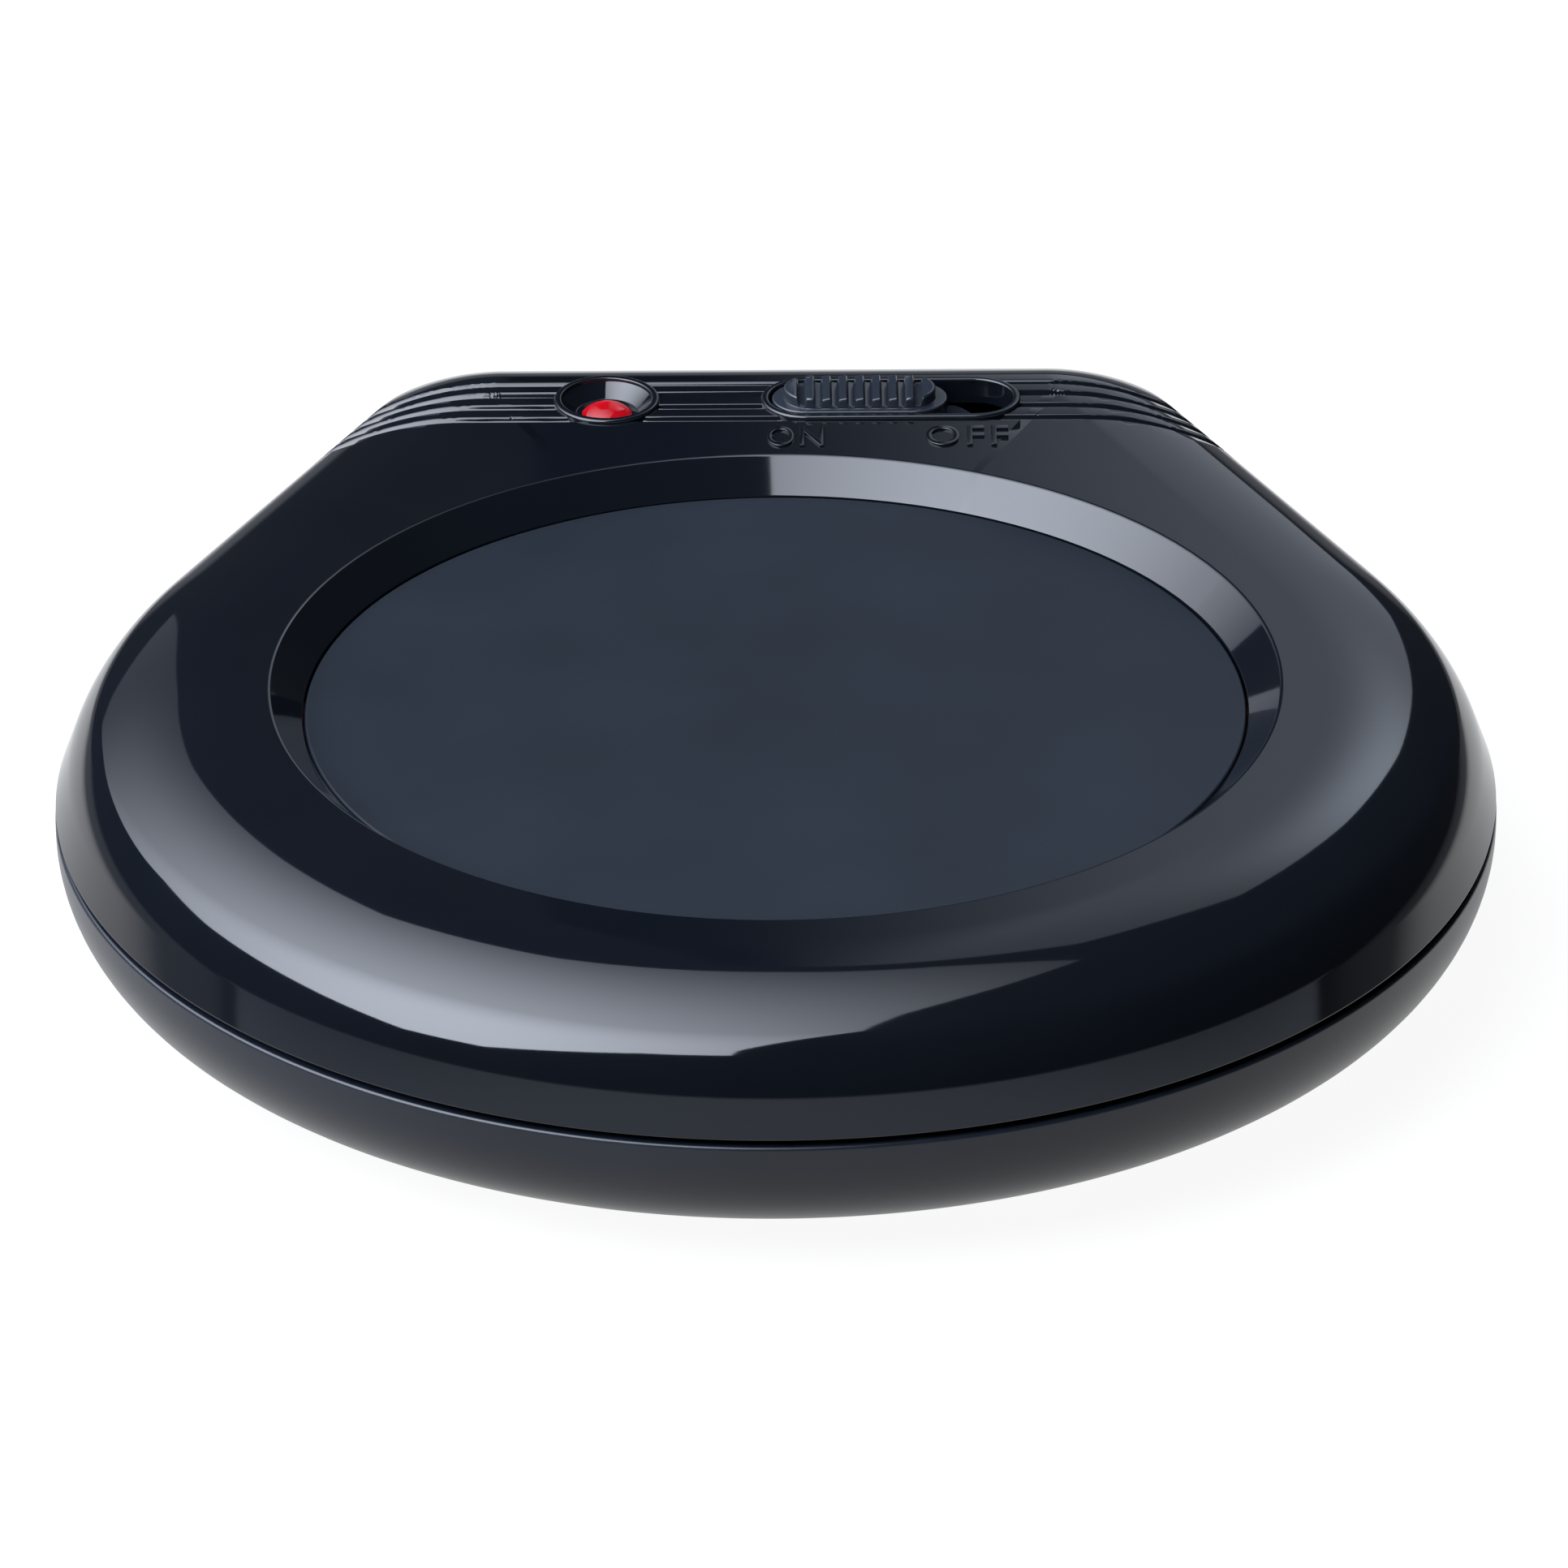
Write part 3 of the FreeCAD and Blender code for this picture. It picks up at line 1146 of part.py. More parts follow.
def neon_lamp():
    """Glass bulb with a rounded top and two wire leads, standing on the tube's cap."""
    bulb = cylinder("bulb", "bulb_radius", "bulb_length - bulb_radius", "lamp_x", "lamp_y", TUBE_LOW)
    tip = doc.addObject("Part::Sphere", "bulb_tip")
    bind(tip, "Radius", "bulb_radius")
    put(tip, "lamp_x", "lamp_y", f"{TUBE_LOW} + bulb_length - bulb_radius")
    finish(fuse("bulb_shape", [bulb, tip]), "neon_lamp")
    leads = [
        cylinder(
            f"lamp_lead_{side}", "lead_radius", "lamp_cap + lamp_lead_drop",
            f"lamp_x + {sign} * lamp_lead_spread", "lamp_y", f"{CAP_LOW} - lamp_lead_drop",
        )
        for side, sign in (("left", "-1"), ("right", "1"))
    ]
    finish(group("lamp_lead_pair", leads), "lamp_leads")


def lamp_cap():
    cap = cylinder("cap_disc", "tube_radius", "lamp_cap", "lamp_x", "lamp_y", CAP_LOW)
    holes = [
        cylinder(
            f"cap_hole_{side}", "lead_radius + thread_clearance", "lamp_cap",
            f"lamp_x + {sign} * lamp_lead_spread", "lamp_y", CAP_LOW,
        )
        for side, sign in (("left", "-1"), ("right", "1"))
    ]
    finish(cut("cap_shape", cap, holes), "lamp_cap")


def lamp_resistor():
    x = "lamp_x - lamp_lead_spread"
    z = f"{CAP_LOW} - resistor_radius - lead_radius"
    y = "lamp_y - lamp_lead_spread - resistor_length"
    barrel = rod("resistor_barrel", "resistor_radius", "resistor_length", x, y, z, "Y")
    tail = "2 * lamp_lead_spread"
    lead = rod(
        "resistor_lead", "lead_radius", f"resistor_length + {tail} + lamp_lead_spread - lead_radius",
        x, f"{y} - {tail}", z, "Y",
    )
    finish(fuse("resistor_shape", [barrel, lead]), "lamp_resistor")


# Terminal block.

BLOCK_FOOT = f"({FLOOR} + hole_clearance)"
WAY_Z = f"({BLOCK_FOOT} + way_height)"
WAYS = {
    "live": "block_x + way_spread",
    "neutral": "block_x - way_spread",
}


def terminal_block():
    body = box(
        "block_body", "block_length", "block_width", "block_height",
        "block_x", "block_y", BLOCK_FOOT,
    )
    tools = []
    for side, x in WAYS.items():
        y = "block_y - block_width / 2"
        tools.append(rod(f"way_{side}", "way_radius", "block_width", x, y, WAY_Z, "Y"))
        tools.append(cylinder(
            f"way_shaft_{side}", "block_screw_radius + thread_clearance", "block_height",
            x, "block_y", WAY_Z,
        ))
    tools.append(cylinder(
        "block_hole", "block_screw_radius + thread_clearance", "block_height",
        "block_x", "block_y", BLOCK_FOOT,
    ))
    finish(cut("block_shape", body, tools), "terminal_block")
    length = "(block_height - way_height - block_screw_sink)"
    top = f"({BLOCK_FOOT} + block_height)"
    screws = []
    for side, x in WAYS.items():
        blank = cylinder(
            f"block_screw_{side}_blank", "block_screw_radius", length, x, "block_y", f"{top} - {length}",
        )
        slot = box(
            f"block_screw_{side}_slot", "2 * block_screw_radius", "drive_width", "drive_depth",
            x, "block_y", f"{top} - drive_depth",
        )
        screws.append(cut(f"block_screw_{side}", blank, [slot]))
    finish(group("terminal_screw_pair", screws), "terminal_screws")
    fixing = screw(
        "block_fixing", "block_screw_radius", "block_height + base_wall / 2",
        "block_screw_head", "block_head_height", "block_x", "block_y", top, up=False,
    )
    finish(fixing, "block_fixing_screw")


# Insulated leads: straight runs joined by tangent arcs.


def lead(name, corners):
    points = [Vector(value(x), value(y), value(z)) for x, y, z in corners]
    edges = []
    start = points[0]
    for before, corner, after in zip(points, points[1:], points[2:]):
        arriving = (corner - before).normalize()
        leaving = (after - corner).normalize()
        turn = arriving.getAngle(leaving)
        room = 0.45 * min((corner - before).Length, (after - corner).Length)
        setback = min(value("wire_bend") * math.tan(turn / 2), room)
        radius = setback / math.tan(turn / 2)
        begin = corner - arriving * setback
        end = corner + leaving * setback
        inward = (leaving - arriving).normalize()
        middle = corner + inward * (radius / math.cos(turn / 2) - radius)
        edges.append(Part.LineSegment(start, begin).toShape())
        edges.append(Part.Arc(begin, middle, end).toShape())
        start = end
    edges.append(Part.LineSegment(start, points[-1]).toShape())
    path = Part.Wire(edges)
    facing = (points[1] - points[0]).normalize()
    profile = Part.Wire([Part.Circle(points[0], facing, value("wire_radius")).toShape()])
    item = doc.addObject("Part::Feature", name + "_tube")
    item.Shape = path.makePipeShell([profile], True, False)
    item.Placement = Placement(Vector(0, value(AXIS_Y), 0), Rotation())
    item.Label = name
    subparts.append(item)
    expected = math.pi * value("wire_radius") ** 2 * path.Length
    if abs(item.Shape.Volume / expected - 1) > 0.01:
        raise ValueError(f"{name} has the wrong volume")


def leads():
    pin_face = "(switch_y - pin_width / 2)"
    pin_back = "(switch_y + pin_width / 2)"
    pin_mid = f"({PIN_LOW} + wire_radius + hole_clearance)"
    live_pin, switched_pin = CONTACTS["live"], CONTACTS["switched"]
    aisle = "(block_y - block_width / 2 - 4 * wire_radius)"
    lead("live_lead", [
        (WAYS["live"], "block_y - thread_clearance", WAY_Z),
        (WAYS["live"], aisle, WAY_Z),
        (live_pin, aisle, pin_mid),
        (live_pin, pin_face, pin_mid),
    ])
    fuse_z = f"({DISH_LOW} - fuse_radius)"
    lead("switched_lead", [
        (switched_pin, pin_face, pin_mid),
        (switched_pin, f"{aisle} - 6 * wire_radius", pin_mid),
        ("fuse_length / 2 + 5 * wire_radius", "fuse_reach + 8 * wire_radius", fuse_z),
        ("fuse_length / 2 + 5 * wire_radius", "fuse_reach", fuse_z),
        ("fuse_length / 2", "fuse_reach", fuse_z),
    ])
    tab_z = f"({DISH_LOW} - tab_length + wire_radius)"
    tab_face = "(-tab_reach + tab_thickness / 2)"
    lead("fuse_lead", [
        ("-fuse_length / 2", "fuse_reach", fuse_z),
        ("-tab_spread", "fuse_reach", fuse_z),
        ("-tab_spread", "0", tab_z),
        ("-tab_spread", tab_face, tab_z),
    ])
    low = f"({WAY_Z} + wire_radius)"
    outer_x = "(fuse_length / 2 + 14 * wire_radius)"
    lead("neutral_lead", [
        ("tab_spread", tab_face, tab_z),
        ("tab_spread", "-tab_reach + 10 * wire_radius", tab_z),
        (outer_x, "0", low),
        (outer_x, "fuse_reach + 14 * wire_radius", low),
        (WAYS["neutral"], "fuse_reach + 22 * wire_radius", WAY_Z),
        (WAYS["neutral"], "block_y - thread_clearance", WAY_Z),
    ])
    under_lead = f"({CAP_LOW} - lamp_lead_drop - wire_radius)"
    lamp_right = "(lamp_x + lamp_lead_spread)"
    behind = "(block_y + block_width / 2 + 3 * wire_radius)"
    lead("lamp_live_lead", [
        (lamp_right, "lamp_y - lead_radius", under_lead),
        (lamp_right, behind, under_lead),
        (switched_pin, behind, under_lead),
        (switched_pin, pin_back, under_lead),
    ])
    resistor_z = f"({CAP_LOW} - resistor_radius - lead_radius)"
    resistor_x = "(lamp_x - lamp_lead_spread)"
    resistor_end = "(lamp_y - 3 * lamp_lead_spread - resistor_length)"
    past = "(lamp_x - tube_radius - 2 * wire_radius)"
    lead("lamp_neutral_lead", [
        (resistor_x, resistor_end, resistor_z),
        (resistor_x, f"{resistor_end} - 4 * wire_radius", resistor_z),
        (past, f"{resistor_end} - 4 * wire_radius", WAY_Z),
        (past, f"{behind} + 2 * wire_radius", WAY_Z),
        (WAYS["neutral"], f"{behind} + 2 * wire_radius", WAY_Z),
        (WAYS["neutral"], "block_y + thread_clearance", WAY_Z),
    ])


def write_parts():
    doc.recompute()
    failed = [item.Name for item in doc.Objects if "Invalid" in item.State or "Error" in item.State]
    for item in subparts:
        if item.Shape.isNull() or not item.Shape.isValid() or not item.Shape.Solids:
            failed.append(item.Label)
    if failed:
        raise RuntimeError("not built: " + ", ".join(failed))
    os.makedirs("parts", exist_ok=True)
    for item in subparts:
        item.Shape.exportStep(f"parts/{item.Label}.step")
        print(item.Label, len(item.Shape.Solids), round(item.Shape.Volume, 1))


top_cover()
base_shell()
rubber_feet()
base_screws()
cord_inlet()
heating_plate()
plate_seal()
heater_stack()
heater_tabs()
clamp_plate()
clamp_screws()
thermal_fuse()
fuse_strap()
strap_rivets()
switch_knob()
slider()
switch_frame()
switch_screws()
switch_housing()
switch_contacts()
indicator_lens()
neon_lamp()
lamp_cap()
lamp_resistor()
terminal_block()
leads()
write_parts()
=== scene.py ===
"""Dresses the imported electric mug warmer: smooth mouldings, finishes, studio and camera."""

from __future__ import annotations

import logging
import math
from dataclasses import dataclass, field
from enum import Enum
from typing import Callable, Sequence

import bmesh
import bpy
from mathutils import Matrix, Vector


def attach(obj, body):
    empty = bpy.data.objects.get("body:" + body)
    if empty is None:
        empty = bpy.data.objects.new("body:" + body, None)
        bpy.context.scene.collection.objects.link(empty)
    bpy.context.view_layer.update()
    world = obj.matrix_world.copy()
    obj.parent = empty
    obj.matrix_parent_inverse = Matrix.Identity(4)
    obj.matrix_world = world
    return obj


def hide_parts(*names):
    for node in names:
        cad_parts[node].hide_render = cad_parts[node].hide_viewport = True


logging.basicConfig(level=logging.INFO, format="%(message)s")
LOG = logging.getLogger("mug_warmer")

MM = 0.001
AXIS_Y = -4.65
FRAME_PIXELS = 1932
MERGE = 0.0005 * MM
LETTER_MERGE = 0.002 * MM
STRAIGHT = 0.02
SIDE_SHARE = 0.48

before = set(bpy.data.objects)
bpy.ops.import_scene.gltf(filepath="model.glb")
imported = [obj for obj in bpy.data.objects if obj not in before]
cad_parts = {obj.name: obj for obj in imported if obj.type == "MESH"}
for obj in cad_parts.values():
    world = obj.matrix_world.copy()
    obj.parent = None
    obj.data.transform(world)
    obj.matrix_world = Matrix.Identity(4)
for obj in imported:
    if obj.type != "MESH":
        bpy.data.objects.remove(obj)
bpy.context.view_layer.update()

Piece = bpy.types.Object
Material = bpy.types.Material
Tree = bpy.types.NodeTree
Socket = bpy.types.NodeSocket
Ring = list[Vector]
Section = list[tuple[float, float]]


# Colours and shader nodes.


def linear(code: str) -> tuple[float, float, float, float]:
    """Turns an sRGB hex code into a linear colour.

    Args:
        code: six hex digits, with or without a leading hash.

    Returns:
        Linear red, green, blue and an alpha of one.
    """
    digits = code.lstrip("#")
    channels = [int(digits[i:i + 2], 16) / 255 for i in (0, 2, 4)]
    low = [c / 12.92 if c <= 0.04045 else ((c + 0.055) / 1.055) ** 2.4 for c in channels]
    return (low[0], low[1], low[2], 1.0)


def add_node(tree: Tree, kind: str, inputs: dict | None = None, **settings) -> bpy.types.Node:
    """Adds a shader node with its settings and links.

    Args:
        tree: the node tree to add to.
        kind: the node's type name after "ShaderNode".
        inputs: socket name or number to a socket to link from, or a value to set.
        **settings: properties of the node itself.

    Returns:
        The new node.
    """
    node = tree.nodes.new("ShaderNode" + kind)
    for name, setting in settings.items():
        setattr(node, name, setting)
    for name, source in (inputs or {}).items():
        if isinstance(source, Socket):
            tree.links.new(source, node.inputs[name])
        else:
            node.inputs[name].default_value = source
    return node


def new_material(name: str) -> tuple[Material, Tree]:
    """Makes an empty node material.

    Args:
        name: the finish's name.

    Returns:
        The material and its node tree.
    """
    material = bpy.data.materials.new(name)
    material.use_nodes = True
    material.node_tree.nodes.clear()
    return material, material.node_tree


def tinted(tree: Tree, pattern: Socket, stops: Sequence[tuple[float, str]]) -> Socket:
    """Colours a pattern through a ramp.

    Args:
        tree: the node tree to add to.
        pattern: the value that runs along the ramp.
        stops: position and hex colour of each of the ramp's two stops, lowest first.

    Returns:
        The colour.
    """
    ramp = add_node(tree, "ValToRGB", {"Fac": pattern})
    for element, (position, code) in zip(ramp.color_ramp.elements, stops):
        element.position = position
        element.color = linear(code)
    return ramp.outputs["Color"]


def surfaced(tree: Tree, height: Socket, depth_mm: float, strength: float, inputs: dict) -> None:
    """Ends a finish with its surface over a fine relief.

    Args:
        tree: the node tree to add to.
        height: the relief's pattern.
        depth_mm: the relief's depth.
        strength: how much of the relief shows.
        inputs: the other inputs of the surface.
    """
    bump = add_node(tree, "Bump", {
        "Height": height, "Distance": depth_mm * MM, "Strength": strength,
    })
    shader = add_node(tree, "BsdfPrincipled", {**inputs, "Normal": bump.outputs["Normal"]})
    add_node(tree, "OutputMaterial", {"Surface": shader.outputs["BSDF"]})


def computed(tree: Tree, operation: str, *values: float | Socket) -> Socket:
    """The result of a maths node, whose inputs are numbers or sockets."""
    return add_node(tree, "Math", dict(enumerate(values)), operation=operation).outputs["Value"]


def eased(tree: Tree, value: Socket, span: tuple[float, float], levels: tuple[float, float]) -> Socket:
    """Passes smoothly from the first level to the second while a value crosses a span."""
    return add_node(tree, "MapRange", {
        "Value": value, "From Min": span[0], "From Max": span[1], "To Min": levels[0], "To Max": levels[1],
    }, interpolation_type="SMOOTHSTEP").outputs["Result"]


# Finishes.


@dataclass(frozen=True)
class Moulded:
    """Injection-moulded plastic or rubber: an even colour, a faint mottle and a fine grain."""

    name: str
    colour: str
    mottle: str
    roughness: float
    grain_mm: float
    grain_depth_mm: float
    roughness_spread: float = 0.03
    ior: float = 1.5
    coat: float = 0.0
    transmission: float = 0.0
    specular: float = 0.5

    def build(self) -> Material:
        """Builds the plastic from its grain and mottle.

        Returns:
            The material.
        """
        material, tree = new_material(self.name)
        here = add_node(tree, "TexCoord").outputs["Object"]
        cloud = add_node(tree, "TexNoise", {"Vector": here, "Scale": 60.0, "Detail": 3.0})
        wear = add_node(tree, "MapRange", {
            "Value": cloud.outputs["Fac"],
            "To Min": self.roughness - self.roughness_spread,
            "To Max": self.roughness + self.roughness_spread,
        })
        grain = add_node(tree, "TexNoise", {
            "Vector": here, "Scale": 1 / (self.grain_mm * MM), "Detail": 2.0, "Roughness": 0.55,
        })
        surfaced(tree, grain.outputs["Fac"], self.grain_depth_mm, 1.0, {
            "Base Color": tinted(tree, cloud.outputs["Fac"], [(0.3, self.colour), (0.75, self.mottle)]),
            "Roughness": wear.outputs["Result"], "IOR": self.ior, "Coat Weight": self.coat,
            "Transmission Weight": self.transmission, "Specular IOR Level": self.specular,
        })
        return material


@dataclass(frozen=True)
class Metal:
    """Sheet or turned metal: fine scratches along one axis over a mottled plating."""

    name: str
    colour: str
    shade: str
    roughness: float
    scratch_mm: float
    scratch_depth_mm: float = 0.01

    def build(self) -> Material:
        """Builds the metal with its directional scratches.

        Returns:
            The material.
        """
        material, tree = new_material(self.name)
        here = add_node(tree, "TexCoord").outputs["Object"]
        stretch = add_node(tree, "Mapping", {"Vector": here, "Scale": (0.08, 1.0, 1.0)})
        lines = add_node(tree, "TexNoise", {
            "Vector": stretch.outputs["Vector"], "Scale": 1 / (self.scratch_mm * MM), "Detail": 2.0,
        })
        polish = add_node(tree, "MapRange", {
            "Value": lines.outputs["Fac"], "To Min": self.roughness - 0.06, "To Max": self.roughness + 0.08,
        })
        surfaced(tree, lines.outputs["Fac"], self.scratch_depth_mm, 0.6, {
            "Base Color": tinted(tree, lines.outputs["Fac"], [(0.3, self.shade), (0.7, self.colour)]),
            "Metallic": 1.0, "Roughness": polish.outputs["Result"],
        })
        return material


@dataclass(frozen=True)
class Fibrous:
    """Needled wool or laminated mica: soft flecks in two shades on a rough face."""

    name: str
    colour: str
    fleck: str
    fleck_mm: float
    depth_mm: float
    roughness: float = 0.85

    def build(self) -> Material:
        """Builds the fibre from stretched flecks.

        Returns:
            The material.
        """
        material, tree = new_material(self.name)
        here = add_node(tree, "TexCoord").outputs["Object"]
        flecks = add_node(tree, "TexVoronoi", {
            "Vector": here, "Scale": 1 / (self.fleck_mm * MM), "Randomness": 1.0,
        })
        surfaced(tree, flecks.outputs["Distance"], self.depth_mm, 0.8, {
            "Base Color": tinted(tree, flecks.outputs["Distance"], [(0.1, self.fleck), (0.6, self.colour)]),
            "Roughness": self.roughness,
        })
        return material


class Finish(Enum):
    """The finishes of the mug warmer, by what each real surface is."""

    # polished mould: sharp reflections on a blue-black body, hardly any grain
    COVER = Moulded("glossy_black_abs", "080b10", "0a0d12", 0.05, 0.9, 0.0005, 0.01)
    # spark-eroded mould: soft, greyer reflections
    BASE = Moulded("satin_black_abs", "0f141c", "141a23", 0.3, 0.35, 0.004, 0.04, specular=0.42)
    # non-stick coating over pressed aluminium: even blue-grey charcoal with a fine tooth
    PLATE = Moulded("charcoal_nonstick_coating", "10161d", "141a22", 0.46, 0.3, 0.005, 0.04, specular=0.2)
    KNOB = Moulded("black_acetal", "171b22", "1d222a", 0.26, 0.5, 0.002, 0.03)
    # clear red polycarbonate: deep colour that lets some light through
    LENS = Moulded(
        "clear_red_polycarbonate", "d20e1e", "b80a18", 0.08, 1.5, 0.0008, 0.01, 1.5, 0.0, 0.15, 0.25)
    RUBBER = Moulded("black_silicone_rubber", "1b1b1d", "222224", 0.65, 0.3, 0.008)
    SEAL = Moulded("red_silicone_rubber", "9a3a2c", "86301f", 0.6, 0.4, 0.006)
    NYLON = Moulded("natural_nylon", "dcd9cc", "cfcbbc", 0.4, 0.5, 0.004)
    PHENOLIC = Moulded("brown_phenolic_resin", "38211a", "2c1812", 0.35, 0.4, 0.004)
    SLEEVE = Moulded("woven_glass_sleeve", "dedcd0", "c8c5b5", 0.7, 0.4, 0.03)
    BLACK_WIRE = Moulded("black_silicone_insulation", "17181a", "1e1f21", 0.45, 0.6, 0.003)
    WHITE_WIRE = Moulded("white_silicone_insulation", "dfdfd9", "d2d2cb", 0.45, 0.6, 0.003)
    LACQUER = Moulded("tan_resistor_lacquer", "c9a777", "bd9a68", 0.35, 0.8, 0.003)
    BULB = Moulded("soda_lime_glass", "f2f2ee", "ececea", 0.03, 2.0, 0.0005, 0.01, 1.52, 0.0, 1.0)
    STEEL = Metal("zinc_plated_steel", "c4c6c8", "9fa2a6", 0.35, 0.5)
    SCREW = Metal("zinc_plated_screw_steel", "b9bbbd", "8f9296", 0.3, 0.3)
    BRASS = Metal("rolled_brass", "c9a24e", "a9843a", 0.3, 0.4)
    MICA = Fibrous("laminated_mica", "a8977a", "8b7b60", 1.2, 0.02, 0.4)
    HEATER = Fibrous("ribbon_wound_mica", "a39272", "7b6b50", 0.9, 0.05, 0.45)
    WOOL = Fibrous("needled_glass_wool", "dcdad0", "bdbab0", 0.5, 0.15)

    @property
    def material(self) -> Material:
        """The built material, made once."""
        return bpy.data.materials.get(self.value.name) or self.value.build()


# Rings, rounded sections and lofted pieces. Lengths are millimetres about the plate's axis.


def place(x: float, y: float, z: float) -> Vector:
    """Turns millimetres about the plate's axis into metres in the part's frame."""
    return Vector((x, y + AXIS_Y, z)) * MM


@dataclass(frozen=True)
class Corner:
    """A corner of a section: its place and the radius that softens it."""

    along: float
    up: float
    radius: float = 0.0


def softened(corners: Sequence[Corner], steps: int = 6) -> Section:
    """Rounds the corners of an open section.

    Args:
        corners: the section's corners in order.
        steps: segments in each rounded corner.

    Returns:
        Points of the section with its arcs.
    """
    points = [(corners[0].along, corners[0].up)]
    for before, corner, after in zip(corners, corners[1:], corners[2:]):
        here = Vector((corner.along, corner.up))
        arriving = here - Vector((before.along, before.up))
        leaving = Vector((after.along, after.up)) - here
        turn = arriving.angle(leaving, 0.0)
        if corner.radius <= 0 or turn < STRAIGHT:
            points.append((here.x, here.y))
            continue
        setback = min(
            corner.radius * math.tan(turn / 2), SIDE_SHARE * arriving.length, SIDE_SHARE * leaving.length)
        begin = here - arriving.normalized() * setback
        end = here + leaving.normalized() * setback
        radius = setback / math.tan(turn / 2)
        inward = (leaving.normalized() - arriving.normalized()).normalized()
        centre = here + inward * (radius / math.cos(turn / 2))
        first = begin - centre
        sweep = first.angle_signed(end - centre)
        for step in range(steps + 1):
            point = centre + Matrix.Rotation(-sweep * step / steps, 2) @ first
            points.append((point.x, point.y))
    points.append((corners[-1].along, corners[-1].up))
    return points


def stadium(length: float, width: float, z: float, x: float, y: float, count: int = 24) -> Ring:
    """A level slot shape with rounded ends.

    Args:
        length: overall, along X.
        width: overall, along Y.
        z: height.
        x: centre.
        y: centre.
        count: segments in each rounded end.

    Returns:
        The points, anticlockwise from above.
    """
    radius = width / 2
    half = length / 2 - radius
    points = []
    for side, begin in ((1, -math.pi / 2), (-1, math.pi / 2)):
        for step in range(count + 1):
            a = begin + math.pi * step / count
            points.append(place(x + side * half + radius * math.cos(a), y + radius * math.sin(a), z))
    return points


def stepped(floor: float, half: float, steps: int) -> list[float]:
    """Distances from a groove's middle line at which its floor and walls take new edges, lowest first."""
    places = [floor + (half - floor) * i / steps for i in range(steps + 1)]
    return sorted(side * away for away in places for side in (-1, 1))


def clear_selection() -> None:
    """Leaves edit mode and deselects everything."""
    if bpy.context.object and bpy.context.object.mode != "OBJECT":
        bpy.ops.object.mode_set(mode="OBJECT")
    bpy.ops.object.select_all(action="DESELECT")


def select_only(piece: Piece) -> None:
    """Leaves edit mode and makes one piece the selected and active one.

    Args:
        piece: the piece.
    """
    clear_selection()
    piece.select_set(True)
    bpy.context.view_layer.objects.active = piece


def loft(name: str, rings: Sequence[Ring], closed: bool = False) -> Piece:
    """Extrudes a circle's edge loop from ring to ring and closes the skin.

    Args:
        name: the piece's name.
        rings: equal counts of points, from the first section to the last.
        closed: whether the last ring joins back to the first, as in a hoop.

    Returns:
        The closed piece.
    """
    clear_selection()
    bpy.ops.mesh.primitive_circle_add(vertices=len(rings[0]), fill_type="NOTHING")
    piece = bpy.context.object
    piece.name = name
    piece.data.name = name
    bpy.ops.object.mode_set(mode="EDIT")
    bpy.ops.mesh.select_mode(type="VERT")
    bpy.ops.mesh.select_all(action="SELECT")
    mesh = bmesh.from_edit_mesh(piece.data)
    order = mesh.verts.layers.int.new("order")
    for index, vertex in enumerate(mesh.verts):
        vertex[order] = index
        vertex.co = rings[0][index]
    rest = list(rings[1:]) + ([rings[0]] if closed else [])
    for ring in rest:
        bpy.ops.mesh.extrude_region_move()
        mesh = bmesh.from_edit_mesh(piece.data)
        order = mesh.verts.layers.int["order"]
        for vertex in mesh.verts:
            if vertex.select:
                vertex.co = ring[vertex[order]]
    bpy.ops.mesh.select_all(action="SELECT")
    bpy.ops.mesh.remove_doubles(threshold=MERGE)
    if not closed:
        bpy.ops.mesh.fill_holes(sides=0)
    bpy.ops.mesh.select_all(action="SELECT")
    bpy.ops.mesh.normals_make_consistent(inside=False)
    bpy.ops.object.mode_set(mode="OBJECT")
    piece.data.attributes.remove(piece.data.attributes["order"])
    return piece


def turned(name: str, section: Section, x: float, y: float, count: int = 96, closed: bool = False) -> Piece:
    """A turned piece about an upright axis.

    Args:
        name: the piece's name.
        section: radius and height of each point.
        x: axis.
        y: axis.
        count: points round the axis.
        closed: whether the section is a closed hoop.

    Returns:
        The piece.
    """
    turns = [2 * math.pi * i / count - math.pi for i in range(count)]
    rings = [[place(x + r * math.cos(a), y + r * math.sin(a), z) for a in turns] for r, z in section]
    return loft(name, rings, closed)


def laid_back(piece: Piece, y: float, z: float) -> Piece:
    """Turns a piece made upright about the origin so that its axis points back along Y.

    Args:
        piece: made about x = 0 and y = 0.
        y: where its foot goes, along Y.
        z: height of its axis.

    Returns:
        The piece.
    """
    turn = Matrix.Rotation(-math.pi / 2, 4, "X")
    home = Matrix.Translation(-place(0, 0, 0))
    piece.data.transform(Matrix.Translation(place(0, y, z)) @ turn @ home)
    return piece


def cut_from(piece: Piece, tools: Sequence[Piece]) -> None:
    """Cuts tools out of a piece and deletes them.

    Args:
        piece: the piece that is cut.
        tools: closed pieces that don't meet each other.
    """
    tool = joined(tools[0], tools[1:])
    modifier = piece.modifiers.new("cut", "BOOLEAN")
    modifier.operation = "DIFFERENCE"
    modifier.solver = "EXACT"
    modifier.object = tool
    select_only(piece)
    bpy.ops.object.modifier_apply(modifier=modifier.name)
    bpy.data.objects.remove(tool, do_unlink=True)


def joined(piece: Piece, others: Sequence[Piece]) -> Piece:
    """Joins other pieces into one object.

    Args:
        piece: keeps its name.
        others: pieces that become part of it.

    Returns:
        The piece.
    """
    select_only(piece)
    for other in others:
        other.select_set(True)
    if others:
        bpy.ops.object.join()
    return piece


